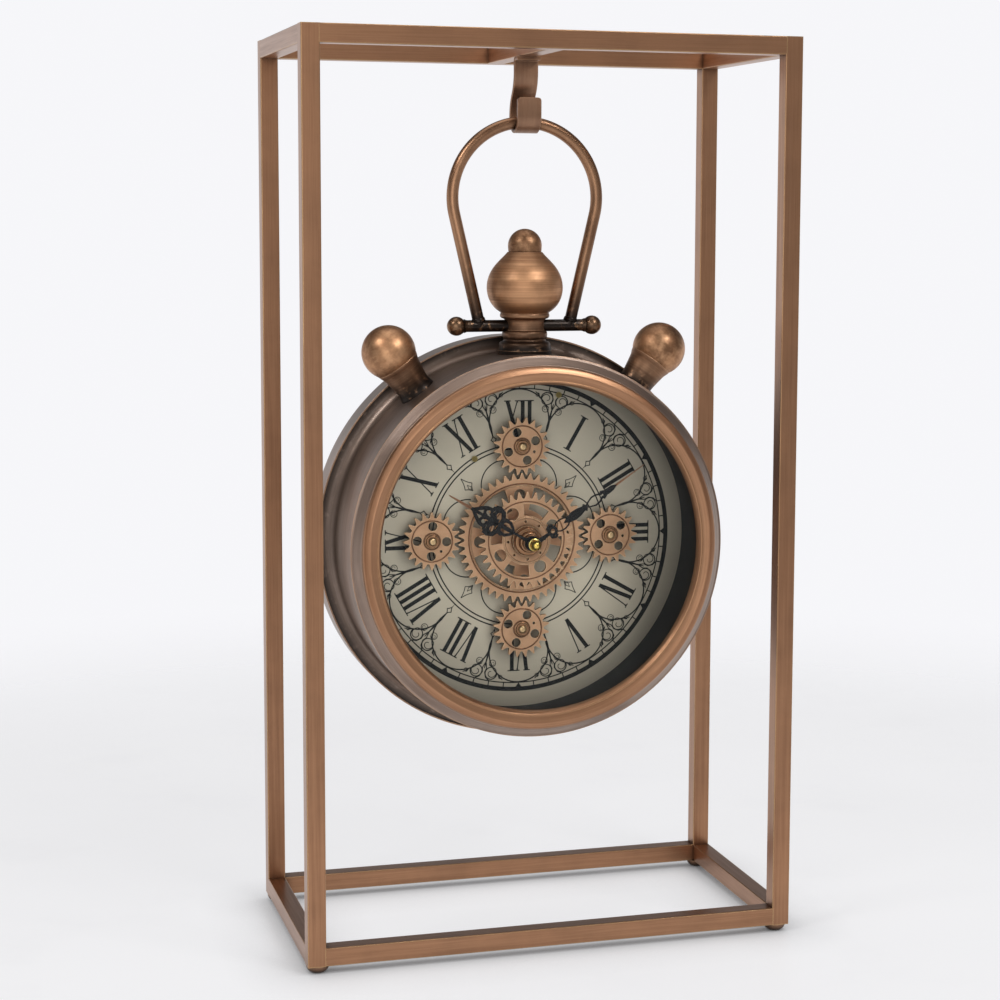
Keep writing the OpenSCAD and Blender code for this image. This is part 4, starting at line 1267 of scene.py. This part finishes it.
def make_minute_hand():
    """A ring and scroll by the hub, a long lozenge, an open cusp and a fine needle."""
    low, high = box_mm("minute_hand")
    thick = high.y - low.y
    work = Hand(thick)
    work.stroke(circle(3.1, n=48), 2.4, closed=True)
    work.stroke([(0, 4), (0, 8), (0, 12.2)], [3.4, 2.6, 2.2])
    work.stroke(circle(2.5, 0, 15.6, 28), 2.0, closed=True)
    for flip in (list, mirrored):
        work.stroke(flip([(0.8, 12.6), (3.4, 13.0), (4.7, 15.4), (3.6, 17.6)]), [1.3, 1.8, 1.8, 1.0])
        work.stroke(flip([(1.4, 17.4), (3.2, 20.2), (3.7, 23.6), (2.9, 26.8), (1.0, 29.2)]), 0.9)
        work.stroke(flip([(0.3, 43.0), (1.8, 46.4), (3.2, 50.0), (2.8, 53.6), (0.8, 57.4)]),
                    [0.9, 0.9, 1.0, 1.1, 1.3])
        work.shape(flip([(0.9, 55.4), (3.3, 57.4), (1.7, 60.8), (0.4, 61.0)]))
    work.shape([(0, 24.6), (-2.0, 28.4), (-3.2, 33.0), (-2.9, 37.6), (-1.2, 43.6), (0, 45.4), (1.2, 43.6),
                (2.9, 37.6), (3.2, 33.0), (2.0, 28.4)])
    work.shape([(-0.5, 40.4), (-3.0, 42.8), (-0.5, 44.8), (0.5, 44.8), (3.0, 42.8), (0.5, 40.4)])
    work.shape([(-1.2, 58.0), (-2.1, 61.6), (-1.8, 66.0), (0, 70.0), (1.8, 66.0), (2.1, 61.6), (1.2, 58.0)])
    piece("minute_scrollwork", work.mesh(MINUTE_AT, high.y), HAND_BLACK, "minute_hand", "minute_hand")
    needle = Hand(thick * 0.8)
    needle.stroke([(0, 62.0), (0, 69), (0, 80), (0, 92.8)], [2.1, 1.6, 1.0, 0.4])
    piece("minute_needle", needle.mesh(MINUTE_AT, high.y - 0.1), NEEDLE_COPPER, "minute_hand")


# ---- back of the case ----


SCREWS_AT = 112                   # from the axis, on the diagonals


def make_cover():
    """A sheet with a window for each box, its skirt, and a bead near the edge."""
    low, high = box_mm("rear_cover")
    loops = [circle(high.x, n=220)]
    for node in ("movement_case", "motor_case"):
        a, b = (corner - AXIS for corner in box_mm(node))
        x0, x1, z0, z1 = a.x - 0.5, b.x + 0.5, a.z - 0.5, b.z + 0.5
        loops.append(rounded([(x0, z0), (x1, z0), (x1, z1), (x0, z1)], 1.5)[::-1])
    loops += [hole(1.5, a, SCREWS_AT) for a in range(45, 360, 90)]
    sheet = plate(loops, FACE_ON, -high.y, -high.y + 1.2, 0.15)
    piece("back_panel", sheet, CASE_COPPER, "case", "rear_cover")
    skirt = lathe(band(high.x, 1.3, low.y, high.y - 1.0, 0.2), closed=True, steps=200)
    piece("back_panel_skirt", skirt, CASE_COPPER, "case")
    piece("back_panel_bead", bead(126.0, 1.6, 0.5, -high.y, FACE_ON, 200), CASE_COPPER, "case")


def make_box(name, node):
    """A moulded box with an open bay for one cell in its rear face."""
    low, high = box_mm(node)
    cell_low, cell_high = box_mm(node.replace("_case", "_battery"))
    room = Vector((1.0, 0, 0.3))
    bay = cell_low - room, cell_high + room
    bm = bmesh.new()
    bmesh.ops.create_cube(bm, size=1.0)
    bm.transform(at(*((low + high) / 2)) @ Matrix.Diagonal((*(high - low), 1)))
    for corner in bay:
        for normal in ((1, 0, 0), (0, 0, 1)):
            bmesh.ops.bisect_plane(bm, geom=bm.verts[:] + bm.edges[:] + bm.faces[:], plane_co=corner,
                                   plane_no=normal)
    middle = (bay[0] + bay[1]) / 2
    mouth = []
    for face in bm.faces:
        off = face.calc_center_median() - middle
        if face.normal.y > 0.9 and abs(off.x) < 1 and abs(off.z) < 1:
            mouth.append(face)
    moved = bmesh.ops.extrude_face_region(bm, geom=mouth)["geom"]
    bmesh.ops.delete(bm, geom=mouth, context="FACES")
    for vert in (g for g in moved if isinstance(g, bmesh.types.BMVert)):
        vert.co.y = cell_low.y - 0.3
    bmesh.ops.dissolve_limit(bm, angle_limit=0.01, verts=bm.verts, edges=bm.edges)
    bmesh.ops.recalc_face_normals(bm, faces=bm.faces)
    bevel_edges(bm, 0.6)
    box_grain(bm)
    piece(name, to_mesh(bm), PLASTIC, "case", node)


def make_cell(name, node):
    """One round cell along X: its sleeve, its cap and the spring at its foot."""
    low, high = box_mm(node)
    r = (high.z - low.z) / 2
    y, z = (low.y + high.y) / 2, (low.z + high.z) / 2
    place = at(low.x, y, z) @ Matrix.Rotation(math.radians(90), 4, "Y")
    length = high.x - low.x
    sleeve = [(0, 0.3), (r - 1.2, 0.3), (r - 0.6, 0), (r, 0.5), (r, length - 1.9), (r - 0.8, length - 1.3),
              (0, length - 1.5)]
    piece(name, lathe(rounded(sleeve, 0.3, closed=False), place, steps=48), SLEEVE, "case", node)
    nub = shifted(0, length, [(0, -1.6), (4.6, -1.6), (4.6, -1.2), (2.7, -1.1), (2.7, 0), (0, 0)])
    piece(name + "_cap", lathe(rounded(nub, 0.2, closed=False), place, steps=40), STEEL, "case")
    turns, n = 4.0, 96
    coil = []
    for i in range(n + 1):
        t = i / n
        a = math.tau * turns * t
        reach = 4.4 - 2 * t
        coil.append((low.x - 0.95 + 0.75 * t, y + reach * math.cos(a), z + reach * math.sin(a)))
    piece(name + "_spring", sweep(coil, 0.3, 8, up=Vector((1, 0, 0))), STEEL, "case")


def make_screws():
    """Four heads with a cross recess, of which the first stands for the CAD's screws."""
    back = box_mm("cover_screws")[1].y
    cross = []
    for sx, sy in ((-1, -1), (1, -1), (1, 1), (-1, 1)):
        arm = [(2.2 * sx, 0.4 * sy), (0.4 * sx, 0.4 * sy), (0.4 * sx, 2.2 * sy)]
        cross += arm if sx == sy else arm[::-1]
    loops = [circle(3.2, n=40), rounded(cross[::-1], 0.1, n=2)]
    for number, a in enumerate(range(45, 360, 90), 1):
        x, z = SCREWS_AT * math.cos(math.radians(a)), SCREWS_AT * math.sin(math.radians(a))
        head = plate(loops, at(AXIS.x + x, back, AXIS.z + z) @ FACING, 0.0, 1.1, 0.3)
        stands_for = ["cover_screws"] if number == 1 else []
        piece(f"cover_screw_{number}", head, STEEL, "case", *stands_for)


def make_set_knob():
    """A toothed wheel on a stem, with a dished cap."""
    low, high = box_mm("set_knob")
    x, z = (low.x + high.x) / 2, (low.z + high.z) / 2
    loops = [gear_outline(24, 6.7, 7.2, 0.6, 0.8)]
    wheel = plate(loops, at(x, 0, z) @ FACING, -high.y, -high.y + 5, 0.3)
    piece("setting_wheel", wheel, PLASTIC, "set_knob", "set_knob")
    stem = [(0, low.y), (1.5, low.y)]
    stem += shifted(0, high.y, [(1.5, -5.1), (3.4, -5.1), (3.4, -4.8), (0, -4.8)])
    dish = shifted(0, high.y, [(0, -0.1), (4.9, -0.1), (5.4, 0), (5.9, -0.2), (5.9, -0.6), (0, -0.6)])
    for name, profile, r, steps in (("stem", stem, 0.15, 32), ("dish", dish, 0.1, 48)):
        mesh = lathe(rounded(profile, r, closed=False), at(x, 0, z) @ TURNED, steps=steps)
        piece("setting_" + name, mesh, PLASTIC, "set_knob")


def better_materials():
    """CAD nodes that stay as they are get a finish of their own."""
    finishes = {"dial_screws": BRONZE, "cover_pillars": STEEL, "movement_bushing": BRASS, "dial_nut": BRASS,
                "hour_tube": BRASS, "minute_shaft": STEEL, "power_switch": GREY_PLASTIC}
    for node, material in finishes.items():
        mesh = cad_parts[node].data
        mesh.materials.clear()
        mesh.materials.append(material)


# ---- camera, light and floor ----
ROOM_LIGHT = (0.13, 0.13, 0.135)
FRONT_LIGHT = (0.52, 0.52, 0.525)
SHEET_LIGHT = (0.88, 0.88, 0.90)
BACKDROP = (0.925, 0.925, 0.95)
# name, direction from the clock, size, power, seen in polished metal
SOFTBOXES = (
    ("front_key", (0.36, -0.86, 0.36), (1.3, 1.0), 9, False),
    ("camera_fill", (-0.33, -0.92, 0.22), (1.2, 1.2), 7, True),
    ("left_softbox", (-0.653, -0.323, 0.677), (0.45, 0.45), 10, True),
    ("right_softbox", (0.363, -0.626, 0.693), (0.6, 0.6), 13, True),
    ("top_softbox", (0.0, 0.1, 1.0), (1.4, 1.4), 9, True),
)


LENS, SHIFT = 80.115, (-0.0655, -0.0382)
CAMERA_AT = (-0.403375, -1.448953, 0.487697)
CAMERA_RIGHT = Vector((0.95818772, -0.28609189, 0.00526441))
CAMERA_UP = Vector((0.02728438, 0.10966493, 0.99359406))
CAMERA_BACK = Vector((-0.28483653, -0.951906, 0.11288543))


def make_camera():
    data = bpy.data.cameras.new("camera")
    data.sensor_width = 36
    data.lens = LENS
    data.shift_x, data.shift_y = SHIFT
    data.clip_start, data.clip_end = 0.05, 50
    obj = bpy.data.objects.new("camera", data)
    bpy.context.scene.collection.objects.link(obj)
    turn = Matrix((CAMERA_RIGHT, CAMERA_UP, CAMERA_BACK)).transposed()
    obj.matrix_world = at(*CAMERA_AT) @ turn.to_4x4()
    bpy.context.scene.camera = obj


def softbox(name, place, target, size, power, mirrored_too):
    data = bpy.data.lights.new(name, "AREA")
    data.shape = "RECTANGLE"
    data.size, data.size_y = size
    data.energy = power
    data.color = (1.0, 0.99, 0.98)
    obj = bpy.data.objects.new(name, data)
    obj.visible_glossy = mirrored_too
    bpy.context.scene.collection.objects.link(obj)
    obj.location = place
    obj.rotation_euler = (Vector(target) - Vector(place)).to_track_quat("-Z", "Y").to_euler()


def make_world():
    """A white sheet behind and below, a dim room in front and above. The camera sees plain white."""
    world = bpy.data.worlds.new("studio")
    bpy.context.scene.world = world
    world.use_nodes = True
    tree = world.node_tree
    way = add(tree, "SeparateXYZ", {0: add(tree, "TexCoord").outputs["Generated"]})
    behind = span(tree, way.outputs["Y"], -0.35, 0.25)
    top_edge = span(tree, behind, 0.0, 1.0, -0.30, 0.17)
    height = maths(tree, "SUBTRACT", way.outputs["Z"], top_edge)
    sheet = span(tree, height, 0.12, -0.06)
    ahead = maths(tree, "SUBTRACT", 1.0, behind)
    room = maths(tree, "MULTIPLY", ahead, span(tree, way.outputs["Z"], 0.30, -0.12))
    light = blend(tree, sheet, blend(tree, room, ROOM_LIGHT, FRONT_LIGHT), SHEET_LIGHT)
    seen = add(tree, "LightPath").outputs["Is Camera Ray"]
    tree.links.new(blend(tree, seen, light, BACKDROP), tree.nodes["Background"].inputs[0])


def make_studio():
    make_world()
    target = Vector((0, 0, 0.3))
    for name, way, size, power, mirrored_too in SOFTBOXES:
        softbox(name, target + Vector(way).normalized() * 1.9, target, size, power, mirrored_too)
    bm = bmesh.new()
    bmesh.ops.create_circle(bm, cap_ends=True, radius=1400, segments=96)
    floor = bpy.data.objects.new("floor", to_mesh(bm))
    floor.data.materials.append(floor_paint())
    bpy.context.scene.collection.objects.link(floor)
    bpy.context.scene.view_settings.view_transform = "Standard"
    bpy.context.scene.view_settings.look = "None"


make_camera()
make_studio()
make_bars()
make_feet()
make_hook()
make_bow()
make_cross_rod()
make_drum()
make_bezel()
make_liner()
make_glass()
make_crown()
make_knobs()
make_dial()
make_ring_gear()
make_mid_gear()
make_gear_hub()
make_satellites()
make_spindles()
make_centre()
make_hour_hand()
make_minute_hand()
make_cover()
make_box("movement_box", "movement_case")
make_box("motor_box", "motor_case")
make_cell("movement_cell", "movement_battery")
make_cell("motor_cell", "motor_battery")
make_screws()
make_set_knob()
better_materials()
